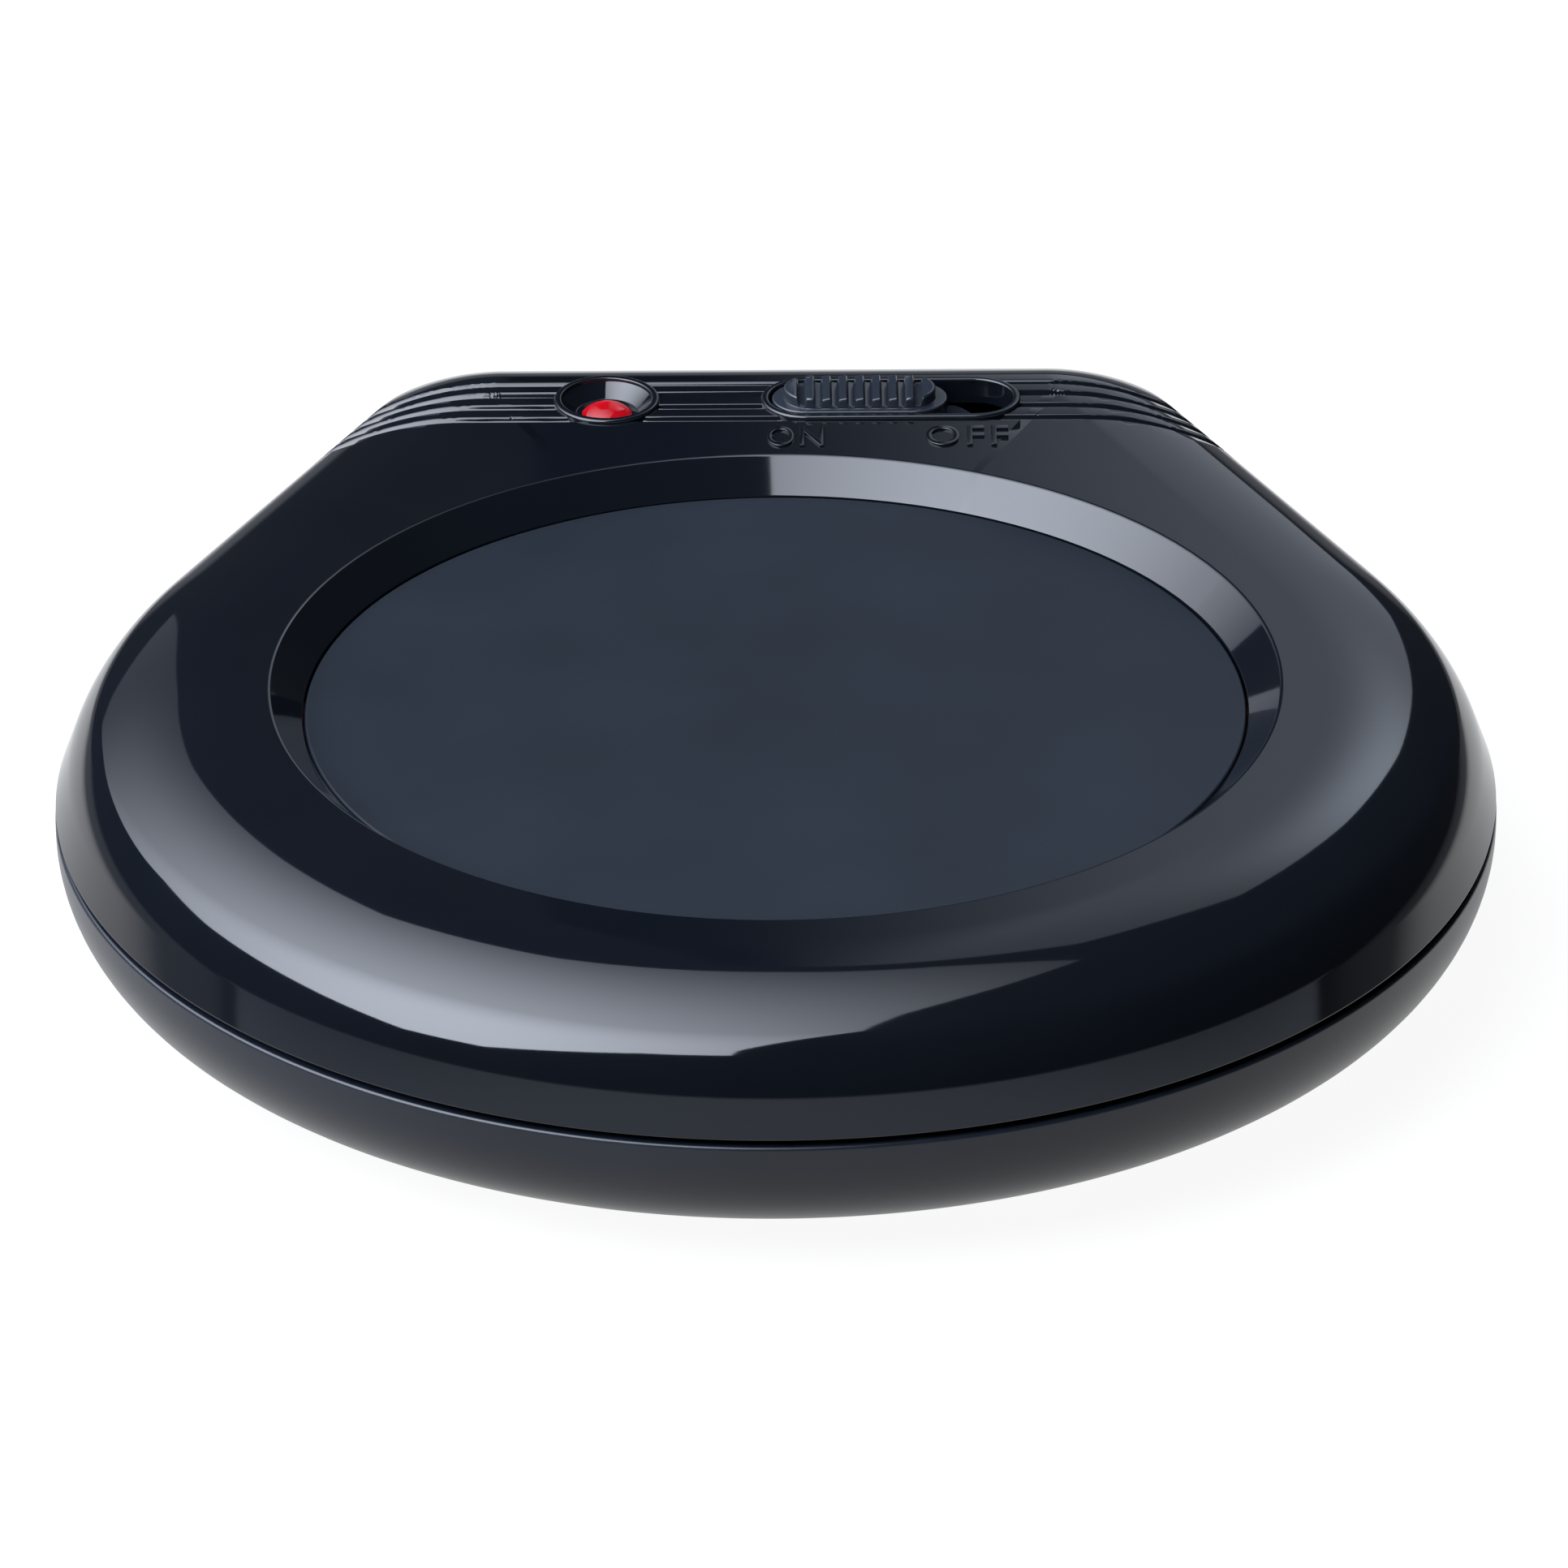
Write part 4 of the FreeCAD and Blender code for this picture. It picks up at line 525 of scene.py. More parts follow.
def slice_across(piece: Piece, places: Sequence[float], normal: Vector,
                 wanted: Callable[[Vector], bool]) -> None:
    """Cuts new edges across chosen faces at several parallel planes.

    Args:
        piece: the piece to slice.
        places: distance of each plane from the part's origin along the normal, in metres.
        normal: direction across the planes.
        wanted: tells from a face's centre whether it is sliced.
    """
    select_only(piece)
    bpy.ops.object.mode_set(mode="EDIT")
    bpy.ops.mesh.select_mode(type="FACE")
    for offset in places:
        mesh = bmesh.from_edit_mesh(piece.data)
        bpy.ops.mesh.select_all(action="DESELECT")
        for face in mesh.faces:
            reach = [vertex.co.dot(normal) - offset for vertex in face.verts]
            if min(reach) < 0 < max(reach) and wanted(face.calc_center_median()):
                face.select_set(True)
        bmesh.update_edit_mesh(piece.data)
        bpy.ops.mesh.bisect(plane_co=normal * offset, plane_no=normal)
    bpy.ops.object.mode_set(mode="OBJECT")


def dress(piece: Piece, finish: Finish, body: str, slot: str, *nodes: str, angle: float = 35.0) -> None:
    """Gives a piece its finish, its body and the nodes that it stands for.

    Args:
        piece: the finished piece.
        finish: its finish.
        body: the body that it moves with.
        slot: the record's material slot, which is not used.
        *nodes: nodes that it replaces.
        angle: edges sharper than this stay sharp, in degrees.
    """
    select_only(piece)
    bpy.ops.object.shade_smooth_by_angle(angle=math.radians(angle))
    weight = piece.modifiers.new("weight", "WEIGHTED_NORMAL")
    weight.keep_sharp = True
    bpy.ops.object.modifier_apply(modifier=weight.name)
    piece.data.materials.clear()
    piece.data.materials.append(finish.material)
    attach(piece, body)
    if nodes:
        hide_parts(*nodes)
    LOG.info("%s: %d faces", piece.name, len(piece.data.polygons))


# The housing.


@dataclass(frozen=True)
class Outline:
    """Plan of the housing: a round front, tapering sides and a flat back with rounded corners."""

    radius: float = 66.3
    reach: float = 75.6
    taper: float = 26.0
    corner: float = 17.0
    flat_inset: float = 15.85
    front_steps: int = 116
    side_steps: int = 14
    corner_steps: int = 30
    back_steps: int = 12

    @property
    def corner_centre(self) -> tuple[float, float]:
        """Centre of the right rear corner.

        Returns:
            Its place from the plate's axis.
        """
        lean = math.radians(self.taper)
        y = self.reach - self.corner
        return (self.radius - self.corner - math.sin(lean) * y) / math.cos(lean), y

    def samples(self) -> list[tuple[Vector, Vector]]:
        """Points of the outline with their outward normals, anticlockwise from the front.

        Returns:
            Each point and its normal.
        """
        lean = math.radians(self.taper)
        right: list[tuple[Vector, Vector]] = []

        def arc(centre: Vector, radius: float, begin: float, end: float, count: int) -> None:
            """Adds the points of an arc.

            Args:
                centre: of the arc.
                radius: in millimetres.
                begin: first angle.
                end: last angle.
                count: number of segments.
            """
            for step in range(count + 1):
                turn = begin + (end - begin) * step / count
                outward = Vector((math.cos(turn), math.sin(turn)))
                right.append((centre + outward * radius, outward))

        arc(Vector((0, 0)), self.radius, -math.pi / 2, lean, self.front_steps)
        tangent, outward = right[-1]
        centre = Vector(self.corner_centre)
        end = centre + outward * self.corner
        right += [(tangent.lerp(end, i / self.side_steps), outward) for i in range(1, self.side_steps)]
        arc(centre, self.corner, lean, math.pi / 2, self.corner_steps)
        middle = Vector((0, self.reach))
        last, outward = right[-1]
        right += [(last.lerp(middle, i / self.back_steps), outward) for i in range(1, self.back_steps + 1)]
        left = [(Vector((-p.x, p.y)), Vector((-n.x, n.y))) for p, n in right[1:-1]]
        return right + left[::-1]

    def ring(self, inset: float, z: float) -> Ring:
        """The outline moved inwards, at a height."""
        return [place(*(p - n * inset), z) for p, n in self.samples()]

    def round_ring(self, radius: float, z: float) -> Ring:
        """A circle about the plate's axis whose points face those of the flat deck's edge."""
        facing = [p - n * self.flat_inset for p, n in self.samples()]
        return [place(*(p.normalized() * radius), z) for p in facing]

    def inset_at(self, x: float, y: float) -> float:
        """Distance of a place inside the outline, behind the plate's axis.

        Args:
            x: from the plate's axis.
            y: from the plate's axis.

        Returns:
            Millimetres inwards from the outline.
        """
        lean = math.radians(self.taper)
        here = Vector((abs(x), y))
        side = self.radius - here.dot(Vector((math.cos(lean), math.sin(lean))))
        back = self.reach - y
        away = here - Vector(self.corner_centre)
        turn = math.atan2(away.y, away.x)
        if away.length > 0 and lean < turn < math.pi / 2:
            return self.corner - away.length
        return min(side, back)


@dataclass(frozen=True)
class Levels:
    """Heights that several pieces share."""

    underside: float = 3.4
    rim: float = 14.7
    plate: float = 23.55
    deck_under: float = 24.3
    ring: float = 26.5


@dataclass
class TopCover:
    """The cover: shoulder, lip, flat ring, recess, ribbed band, lamp dish and slot rim."""

    outline: Outline = Outline()
    levels: Levels = Levels()
    wall: float = 2.2
    run: float = 13.5
    drop: float = 6.9
    tuck: float = 4.5
    tuck_slope: float = 50.3
    flank: float = 12.5
    flank_slope: float = 70.0
    flare: float = 2.35
    edge_radius: float = 0.15
    height: float = 11.15
    skirt_inset: float = 2.5
    skirt_drop: float = 3.0
    recess_radius: float = 46.35
    opening_radius: float = 43.4
    collar_radius: float = 49.0
    collar_depth: float = 4.2
    grooves: tuple[float, ...] = (54.2, 56.86, 59.52, 62.18)
    groove_half: float = 0.64
    groove_floor: float = 0.2
    groove_steps: int = 8
    groove_reach: float = 1.5
    groove_depth: float = 0.5
    lamp: tuple[float, float] = (-16.1, 58.2)
    switch: tuple[float, float] = (11.25, 58.2)
    slot_length: float = 23.5
    slot_width: float = 7.4
    rim_width: float = 0.75
    rim_rise: float = 0.35
    rim_inside: float = 0.4
    outer_edge: float = 0.28
    inner_edge: float = 0.22
    plate_edge: float = 0.15
    recess_edge: float = 0.5
    deck_run: float = 3.0
    deck_shares: tuple[float, ...] = (0.25, 0.75)
    band_low: float = 19.0
    face_reach: float = 0.25
    dish_foot: float = 4.7
    dish_hole: float = 4.72
    dish_outer: float = 5.1
    dish_inner: float = 4.35
    dish_floor: float = 3.0
    dish_bore: float = 2.45
    dish_depth: float = 1.3
    words_across: tuple[tuple[str, tuple[float, float]], ...] = (("ON", (-0.7, 4.7)), ("OFF", (14.5, 22.4)))
    words_along: tuple[float, float] = (47.9, 52.1)

    @property
    def crown(self) -> float:
        """Radius of the shoulder's broad arc, tangent to the flat ring and to the tuck."""
        return ((self.run - self.tuck) ** 2 + self.drop ** 2 - self.tuck ** 2) / (2 * (self.drop - self.tuck))

    @property
    def meet(self) -> float:
        """Slope at which the broad arc passes into the tuck."""
        return math.atan2(self.run - self.tuck, self.crown - self.drop)

    @property
    def flank_centre(self) -> tuple[float, float]:
        """Inset and drop of the flank arc's centre, tangent to the tuck.

        Returns:
            Inset and drop.
        """
        slope = math.radians(self.tuck_slope)
        apart = self.flank - self.tuck
        return self.flare + self.tuck + apart * math.sin(slope), self.drop + apart * math.cos(slope)

    def arc(self, centre: tuple[float, float], radius: float, begin: float, end: float,
            steps: int) -> Section:
        """Points of an arc of the section.

        Args:
            centre: inset and drop of its centre.
            radius: in millimetres.
            begin: first slope, in radians from level.
            end: last slope.
            steps: number of segments.

        Returns:
            Inset and height of each point.
        """
        slopes = [begin + (end - begin) * i / steps for i in range(steps + 1)]
        inset, drop = centre
        middle = self.levels.ring - drop
        return [(inset - radius * math.sin(t), middle + radius * math.cos(t)) for t in slopes]

    def shoulder(self) -> Section:
        """Section of the outer face from the flat ring down to the flank's end.

        Returns:
            Inset and height of each point.
        """
        tuck_end, flank_end = math.radians(self.tuck_slope), math.radians(self.flank_slope)
        crown = self.arc((self.flare + self.run, self.crown), self.crown, 0, self.meet, 30)
        tuck = self.arc((self.flare + self.tuck, self.drop), self.tuck, self.meet, tuck_end, 12)
        return crown + tuck[1:] + self.arc(self.flank_centre, self.flank, tuck_end, flank_end, 16)[1:]

    def inner_shoulder(self) -> Section:
        """Section of the inner face from the skirt up to the flat ring.

        Returns:
            Inset and height of each point.
        """
        crown = self.arc((self.flare + self.run, self.crown), self.crown - self.wall, 0, self.meet, 8)
        tuck = self.arc((self.flare + self.tuck, self.drop), self.tuck - self.wall, self.meet, math.pi / 2, 5)
        return (crown + tuck[1:])[::-1]

    def face_height(self, inset: float) -> float:
        """Height of the outer face at an inset.

        Args:
            inset: from the outline.

        Returns:
            The height.
        """
        top = self.levels.ring
        across = self.flare + self.run - inset
        if across <= 0:
            return top
        if across < self.crown * math.sin(self.meet):
            return top - self.crown + math.sqrt(self.crown ** 2 - across ** 2)
        across = self.flare + self.tuck - inset
        if across < self.tuck * math.sin(math.radians(self.tuck_slope)):
            return top - self.drop + math.sqrt(self.tuck ** 2 - across ** 2)
        centre, drop = self.flank_centre
        return top - drop + math.sqrt(self.flank ** 2 - min(centre - inset, self.flank) ** 2)

    def section_rings(self) -> list[Ring]:
        """All rings of the closed cover wall.

        Returns:
            The rings, from the recess out and back under the deck.
        """
        top = self.levels.ring
        edge = top - self.height
        skirt = edge - self.skirt_drop
        inside = self.flare + self.wall
        ledge = top - self.collar_depth
        lip = softened([
            Corner(*self.shoulder()[-1]), Corner(0, edge, self.edge_radius), Corner(self.skirt_inset, edge),
            Corner(self.skirt_inset, skirt), Corner(inside, skirt), Corner(inside, top - self.drop),
        ])
        recess = softened([
            Corner(self.collar_radius, top - self.wall), Corner(self.collar_radius, ledge),
            Corner(self.opening_radius, ledge),
            Corner(self.opening_radius, self.levels.plate, self.plate_edge),
            Corner(self.recess_radius, top, self.recess_edge),
            Corner(self.recess_radius + self.deck_run, top),
        ])
        rings = [self.outline.round_ring(r, z) for r, z in recess[:-1]]
        rings += [self.deck_ring(share) for share in self.deck_shares]
        face = self.shoulder() + lip[1:] + self.inner_shoulder()[1:]
        return rings + [self.outline.ring(inset, z) for inset, z in face]

    def deck_ring(self, share: float) -> Ring:
        """A ring on the flat deck, part of the way from the recess to the shoulder.

        Args:
            share: of the way.

        Returns:
            The ring.
        """
        inner = self.outline.round_ring(self.recess_radius, self.levels.ring)
        outer = self.outline.ring(self.flare + self.run, self.levels.ring)
        return [a.lerp(b, share) for a, b in zip(inner, outer)]

    def groove_depth_at(self, y: float) -> float:
        """Depth of the ribbed band at a place behind the plate's axis.

        Args:
            y: from the plate's axis.

        Returns:
            The depth.
        """
        away = min(abs(y - centre) for centre in self.grooves)
        if away >= self.groove_half:
            return 0.0
        if away <= self.groove_floor:
            return self.groove_depth
        share = (self.groove_half - away) / (self.groove_half - self.groove_floor)
        return self.groove_depth * (0.5 - 0.5 * math.cos(math.pi * share))

    def carve_band(self, cover: Piece) -> None:
        """Presses the ribbed band into the deck and the shoulders at its ends.

        Args:
            cover: the plain moulding.
        """
        offsets = stepped(self.groove_floor, self.groove_half, self.groove_steps)
        planes = [(centre + offset + AXIS_Y) * MM for centre in self.grooves for offset in offsets]
        slice_across(cover, planes, Vector((0, 1, 0)), lambda centre: centre.z > self.band_low * MM)
        for vertex in cover.data.vertices:
            x, y, z = vertex.co / MM
            y -= AXIS_Y
            depth = self.groove_depth_at(y)
            if depth == 0:
                continue
            inset = self.outline.inset_at(x, y)
            if inset < self.groove_reach or abs(z - self.face_height(inset)) > self.face_reach:
                continue
            vertex.co -= self.face_normal(x, y) * depth * MM

    def face_normal(self, x: float, y: float, step: float = 0.02) -> Vector:
        """Outward normal of the deck or the shoulder, by small steps in height.

        Args:
            x: from the plate's axis.
            y: from the plate's axis.
            step: size of the steps.

        Returns:
            The normal, of length one.
        """
        def rise(dx: float, dy: float) -> float:
            """Height gained from one side of the place to the other."""
            ahead, behind = self.outline.inset_at(x + dx, y + dy), self.outline.inset_at(x - dx, y - dy)
            return self.face_height(ahead) - self.face_height(behind)

        return Vector((-rise(step, 0) / (2 * step), -rise(0, step) / (2 * step), 1)).normalized()

    def lamp_dish(self) -> Piece:
        """The raised rim and conical dish round the lens.

        Returns:
            A closed hoop.
        """
        under, top = self.levels.deck_under, self.levels.ring
        rim, low = top + self.rim_rise, top - self.dish_depth
        section = softened([
            Corner(self.dish_foot, under), Corner(self.dish_outer, under),
            Corner(self.dish_outer, rim, self.outer_edge), Corner(self.dish_inner, rim, self.inner_edge),
            Corner(self.dish_inner, top, 0.1), Corner(self.dish_floor, low, 0.15),
            Corner(self.dish_bore, low), Corner(self.dish_bore, under),
        ])
        return turned("lamp_dish", section, *self.lamp, count=128, closed=True)

    def slot_rim(self) -> Piece:
        """The raised rim round the switch slot.

        Returns:
            A closed hoop.
        """
        under, rim = self.levels.deck_under, self.levels.ring + self.rim_rise
        section = softened([
            Corner(self.rim_inside, under), Corner(self.rim_width, under),
            Corner(self.rim_width, rim, self.outer_edge), Corner(0, rim, self.inner_edge), Corner(0, under),
        ])
        rings = [
            stadium(self.slot_length + 2 * out, self.slot_width + 2 * out, z, *self.switch)
            for out, z in section
        ]
        return loft("slot_rim", rings, closed=True)

    def words(self) -> list[Piece]:
        """The raised words ON and OFF in front of the slot."""
        top = self.levels.ring
        return [raised_word(word, across, self.words_along, top) for word, across in self.words_across]

    def build(self) -> None:
        """Makes and dresses the cover."""
        cover = loft("cover_moulding", self.section_rings(), closed=True)
        self.carve_band(cover)
        low, high = self.levels.deck_under - 1, self.levels.ring + 1
        x, y = self.switch
        slot_tool = loft("slot_tool", [
            stadium(self.slot_length + self.rim_width, self.slot_width + self.rim_width, z, x, y)
            for z in (low, high)
        ])
        lamp_tool = turned("lamp_tool", [(self.dish_hole, low), (self.dish_hole, high)], *self.lamp)
        cut_from(cover, [slot_tool, lamp_tool])
        joined(cover, [self.lamp_dish(), self.slot_rim()] + self.words())
        dress(cover, Finish.COVER, "housing", "cover", "top_cover")


def raised_word(word: str, across: tuple[float, float], along: tuple[float, float], z: float,
                rise: float = 0.22) -> Piece:
    """A word standing a little above the deck.

    Args:
        word: the letters.
        across: left and right ends, in millimetres.
        along: front and back ends of its capitals.
        z: height of the deck.
        rise: height of the letters above it.

    Returns:
        A closed mesh.
    """
    clear_selection()
    bpy.ops.object.text_add()
    text = bpy.context.object
    text.data.body = word
    text.data.size = 1.0
    text.data.space_character = 1.15
    text.data.extrude = 0.04
    text.data.bevel_depth = 0.014
    text.data.bevel_resolution = 2
    bpy.ops.object.convert(target="MESH")
    piece = bpy.context.object
    piece.name = f"word_{word.lower()}"
    lows, highs = [[pick(v.co[i] for v in piece.data.vertices) for i in range(3)] for pick in (min, max)]
    scale = (along[1] - along[0]) / (highs[1] - lows[1])
    for vertex in piece.data.vertices:
        share = (vertex.co.x - lows[0]) / (highs[0] - lows[0])
        vertex.co = place(
            across[0] + share * (across[1] - across[0]), along[0] + (vertex.co.y - lows[1]) * scale,
            z + rise + (vertex.co.z - highs[2]) * scale,
        )
    bpy.ops.object.mode_set(mode="EDIT")
    bpy.ops.mesh.select_all(action="SELECT")
    bpy.ops.mesh.remove_doubles(threshold=LETTER_MERGE)
    bpy.ops.mesh.normals_make_consistent(inside=False)
    bpy.ops.object.mode_set(mode="OBJECT")
    return piece


@dataclass
class Base:
    """The lower moulding with its feet and the cord bushing."""

    outline: Outline = Outline()
    levels: Levels = Levels()
    wall: float = 2.2
    round_radius: float = 10.0
    rim_radius: float = 0.4
    posts: tuple[tuple[float, float], ...] = ((-22, -48.5), (22, -48.5), (-38.5, 43), (38.5, 43))
    feet: tuple[tuple[float, float, str], ...] = (
        (-34, -34, "front_left"), (34, -34, "front_right"), (-30, 52, "rear_left"), (30, 52, "rear_right"),
    )
    foot_radius: float = 5.0
    foot_seat: float = 1.2
    foot_clearance: float = 0.03
    inlet_height: float = 9.4
    pad_face: float = 73.9
    floor_round: float = 20.0
    floor_inset: float = 15.5
    rounding: int = 20
    rim_inner: float = 0.25
    post_root: float = 1.1
    post_radius: float = 4.2
    post_top: float = 12.8
    pilot: float = 1.85
    sink: float = 3.25
    sink_depth: float = 3.2
    neck: float = 3.93
    pad: float = 5.2
    pad_depth: float = 5.0
    neck_reach: float = 8.0
    collar_seat: float = 4.75
    collar_reach: float = 4.0
    # radii of the bushing's bore, collar, neck and barb, and heights of its collar, barb and tip
    bushing_radii: tuple[float, ...] = (3.1, 4.4, 3.9, 4.5)
    bushing_heights: tuple[float, ...] = (1.3, -5.25, -6.55)

    def shell(self) -> Piece:
        """The bowl-shaped wall, closed inside and outside.

        Returns:
            The piece.
        """
        low, rim = self.levels.underside, self.levels.rim
        floor = low + self.wall
        inner = self.round_radius - self.wall
        plan, count = self.outline, self.rounding
        rings = [plan.round_ring(self.floor_round, floor), plan.ring(self.floor_inset, floor)]
        for step in range(count // 2 + 1):
            turn = math.pi / 2 * step * 2 / count
            rings.append(plan.ring(
                self.wall + inner - inner * math.sin(turn), floor + inner - inner * math.cos(turn)))
        top = softened([
            Corner(self.wall, floor + inner), Corner(self.wall, rim, self.rim_inner),
            Corner(0, rim, self.rim_radius), Corner(0, low + self.round_radius),
        ])
        rings += [plan.ring(inset, z) for inset, z in top[1:]]
        for step in range(1, count + 1):
            turn = math.pi / 2 * step / count
            rings.append(plan.ring(
                self.round_radius * (1 - math.cos(turn)), low + self.round_radius * (1 - math.sin(turn))))
        rings += [plan.ring(self.floor_inset, low), plan.round_ring(self.floor_round, low)]
        return loft("base_moulding", rings)

    def post(self, x: float, y: float) -> Piece:
        """A screw post with its counterbore.

        Args:
            x: from the plate's axis.
            y: from the plate's axis.

        Returns:
            The post.
        """
        low = self.levels.underside
        root, step = low + self.post_root, low + self.sink_depth
        section = [
            (self.post_radius, root), (self.post_radius, self.post_top), (self.pilot, self.post_top),
            (self.pilot, step), (self.sink, step), (self.sink, root),
        ]
        return turned("post", section, x, y, 64, closed=True)

    def inlet_pad(self) -> Piece:
        """The thickened seat behind the cord bushing.

        Returns:
            The seat.
        """
        section = [(self.neck, 0), (self.pad, 0), (self.pad, self.pad_depth), (self.neck, self.pad_depth)]
        pad = turned("inlet_pad", section, 0, 0, 64, closed=True)
        return laid_back(pad, self.pad_face - self.pad_depth, self.inlet_height)

    def build(self) -> None:
        """Makes and dresses the base, its feet and the bushing."""
        shell = self.shell()
        low = self.levels.underside
        seat = self.foot_radius + self.foot_clearance
        sinks = [(self.sink, low - 1), (self.sink, low + self.sink_depth)]
        seats = [(seat, low - 1), (seat, low + self.foot_seat)]
        tools = [turned("sink", sinks, x, y, 64) for x, y in self.posts]
        tools += [turned("seat", seats, x, y, 64) for x, y, _ in self.feet]
        bore = turned("bore", [
            (self.neck, -self.neck_reach), (self.neck, 0), (self.collar_seat, 0),
            (self.collar_seat, self.collar_reach),
        ], 0, 0, 64)
        tools.append(laid_back(bore, self.pad_face, self.inlet_height))
        cut_from(shell, tools)
        joined(shell, [self.post(x, y) for x, y in self.posts] + [self.inlet_pad()])
        dress(shell, Finish.BASE, "housing", "base", "base_shell")
        for x, y, side in self.feet:
            self.foot(x, y, side)
        self.bushing()

    def foot(self, x: float, y: float, side: str) -> None:
        """A round rubber foot with a softened tread and a shallow dimple.

        Args:
            x: from the plate's axis.
            y: from the plate's axis.
            side: which foot it is, for its name.
        """
        top = self.levels.underside + self.foot_seat
        section = softened([
            Corner(0, 0.35), Corner(2.2, 0.35, 0.3), Corner(2.9, 0, 0.3), Corner(self.foot_radius, 0, 0.9),
            Corner(self.foot_radius, top, 0.15), Corner(0, top),
        ])
        foot = turned(f"foot_{side}", section, x, y, 72)
        dress(foot, Finish.RUBBER, "housing", "rubber", f"rubber_foot_{side}")

    def bushing(self) -> None:
        """The rubber bushing of the cord inlet, with a softened mouth."""
        bore, collar, neck, barb = self.bushing_radii
        rise, face, tip = self.bushing_heights
        # the section closes through a hairline notch in the bore
        section = softened([
            Corner(bore + 0.4, face), Corner(bore, face), Corner(bore, rise, 0.5),
            Corner(collar, rise, 0.45), Corner(collar, 0), Corner(neck, 0), Corner(neck, face),
            Corner(barb, face), Corner(neck, tip, 0.1), Corner(bore, tip), Corner(bore, face - 0.05),
        ])
        bushing = turned("inlet_bushing", section, 0, 0, 72, closed=True)
        laid_back(bushing, self.pad_face, self.inlet_height)
        dress(bushing, Finish.RUBBER, "housing", "rubber", "cord_bushing")


@dataclass
class HeatingPlate:
    """The coated plate in the recess."""

    levels: Levels = Levels()
    radius: float = 43.2
    flange_radius: float = 48.6
    sheet: float = 1.4
    flange_top: float = 21.5
    edge: float = 0.3
    hub: float = 0.5

    def build(self) -> None:
        """Makes and dresses the plate."""
        top, flange = self.levels.plate, self.flange_top
        under, wall = flange - self.sheet, self.radius - self.sheet
        section = softened([
            Corner(self.hub, top), Corner(self.radius, top, self.edge), Corner(self.radius, flange),
            Corner(self.flange_radius, flange), Corner(self.flange_radius, under), Corner(wall, under),
            Corner(wall, top - self.sheet), Corner(self.hub, top - self.sheet),
        ])
        plate = turned("coated_plate", section, 0, 0, 240)
        dress(plate, Finish.PLATE, "housing", "plate", "heating_plate")


# Switch and indicator.


@dataclass
class SwitchKnob:
    """The ribbed knob that slides in the slot."""

    levels: Levels = Levels()
    centre: tuple[float, float] = (8.25, 58.2)
    length: float = 16.9
    width: float = 6.6
    ledge_rise: float = 0.3
    grip_length: float = 14.6
    grip_width: float = 5.4
    grip_height: float = 1.1
    pitch: float = 1.6
    valleys: int = 8
    valley_depth: float = 0.9
    valley_floor: float = 0.2
    valley_half: float = 0.5
    valley_steps: int = 8
    flange_low: float = 22.95
    flange_sheet: float = 1.0
    flange_half: tuple[float, float] = (11.3, 4.8)
    crown_inset: float = 0.5

    @property
    def ledge(self) -> float:
        """Height of the ledge round the grip."""
        return self.levels.ring + self.ledge_rise

    @property
    def valley_places(self) -> list[float]:
        """Middle of each valley, along the knob from its centre."""
        return [self.pitch * i - self.pitch * (self.valleys - 1) / 2 for i in range(self.valleys)]

    def profile(self, flange: float, body: float, grip: float) -> Section:
        """Half of the knob's section along one axis, from the flange to the crown.

        Args:
            flange: half of the flange.
            body: half of the body in the slot.
            grip: half of the grip.

        Returns:
            Distance from the middle and height of each point.
        """
        top, crown = self.flange_low + self.flange_sheet, self.ledge + self.grip_height
        return softened([
            Corner(flange, self.flange_low), Corner(flange, top, 0.15), Corner(body, top),
            Corner(body, self.ledge, 0.2), Corner(grip, self.ledge, 0.1), Corner(grip, crown, 0.35),
            Corner(grip - self.crown_inset, crown),
        ])

    def section(self) -> list[tuple[float, float, float]]:
        """Length, width and height of each ring from the flange to the crown.

        Returns:
            The three sizes of each ring.
        """
        long, wide = self.flange_half
        outer = self.profile(long, self.length / 2, self.grip_length / 2)
        widths = self.profile(wide, self.width / 2, self.grip_width / 2)
        return [(2 * a, 2 * b, z) for (a, z), (b, _) in zip(outer, widths)]

    def rib_height(self, x: float) -> float:
        """Share of the crown's full height that is left at a place along the knob.

        Args:
            x: from the knob's centre.

        Returns:
            The share.
        """
        away = min(abs(x - valley) for valley in self.valley_places)
        share = min(1.0, max(0.0, (away - self.valley_floor) / (self.valley_half - self.valley_floor)))
        rise = share * share * (3 - 2 * share)
        return 1 - self.valley_depth / self.grip_height * (1 - rise)

    def build(self) -> None:
        """Makes and dresses the knob."""
        x, y = self.centre
        knob = loft("ribbed_knob", [stadium(a, b, z, x, y, 20) for a, b, z in self.section()])
        offsets = stepped(self.valley_floor, self.valley_half, self.valley_steps)
        planes = sorted((x + valley + offset) * MM for valley in self.valley_places for offset in offsets)
        slice_across(knob, planes, Vector((1, 0, 0)), lambda c: c.z > (self.ledge + 0.02) * MM)
        for vertex in knob.data.vertices:
            height = vertex.co.z / MM - self.ledge
            if height > 0.05:
                vertex.co.z = (self.ledge + height * self.rib_height(vertex.co.x / MM - x)) * MM
        dress(knob, Finish.KNOB, "slide", "knob", "switch_knob", angle=50.0)


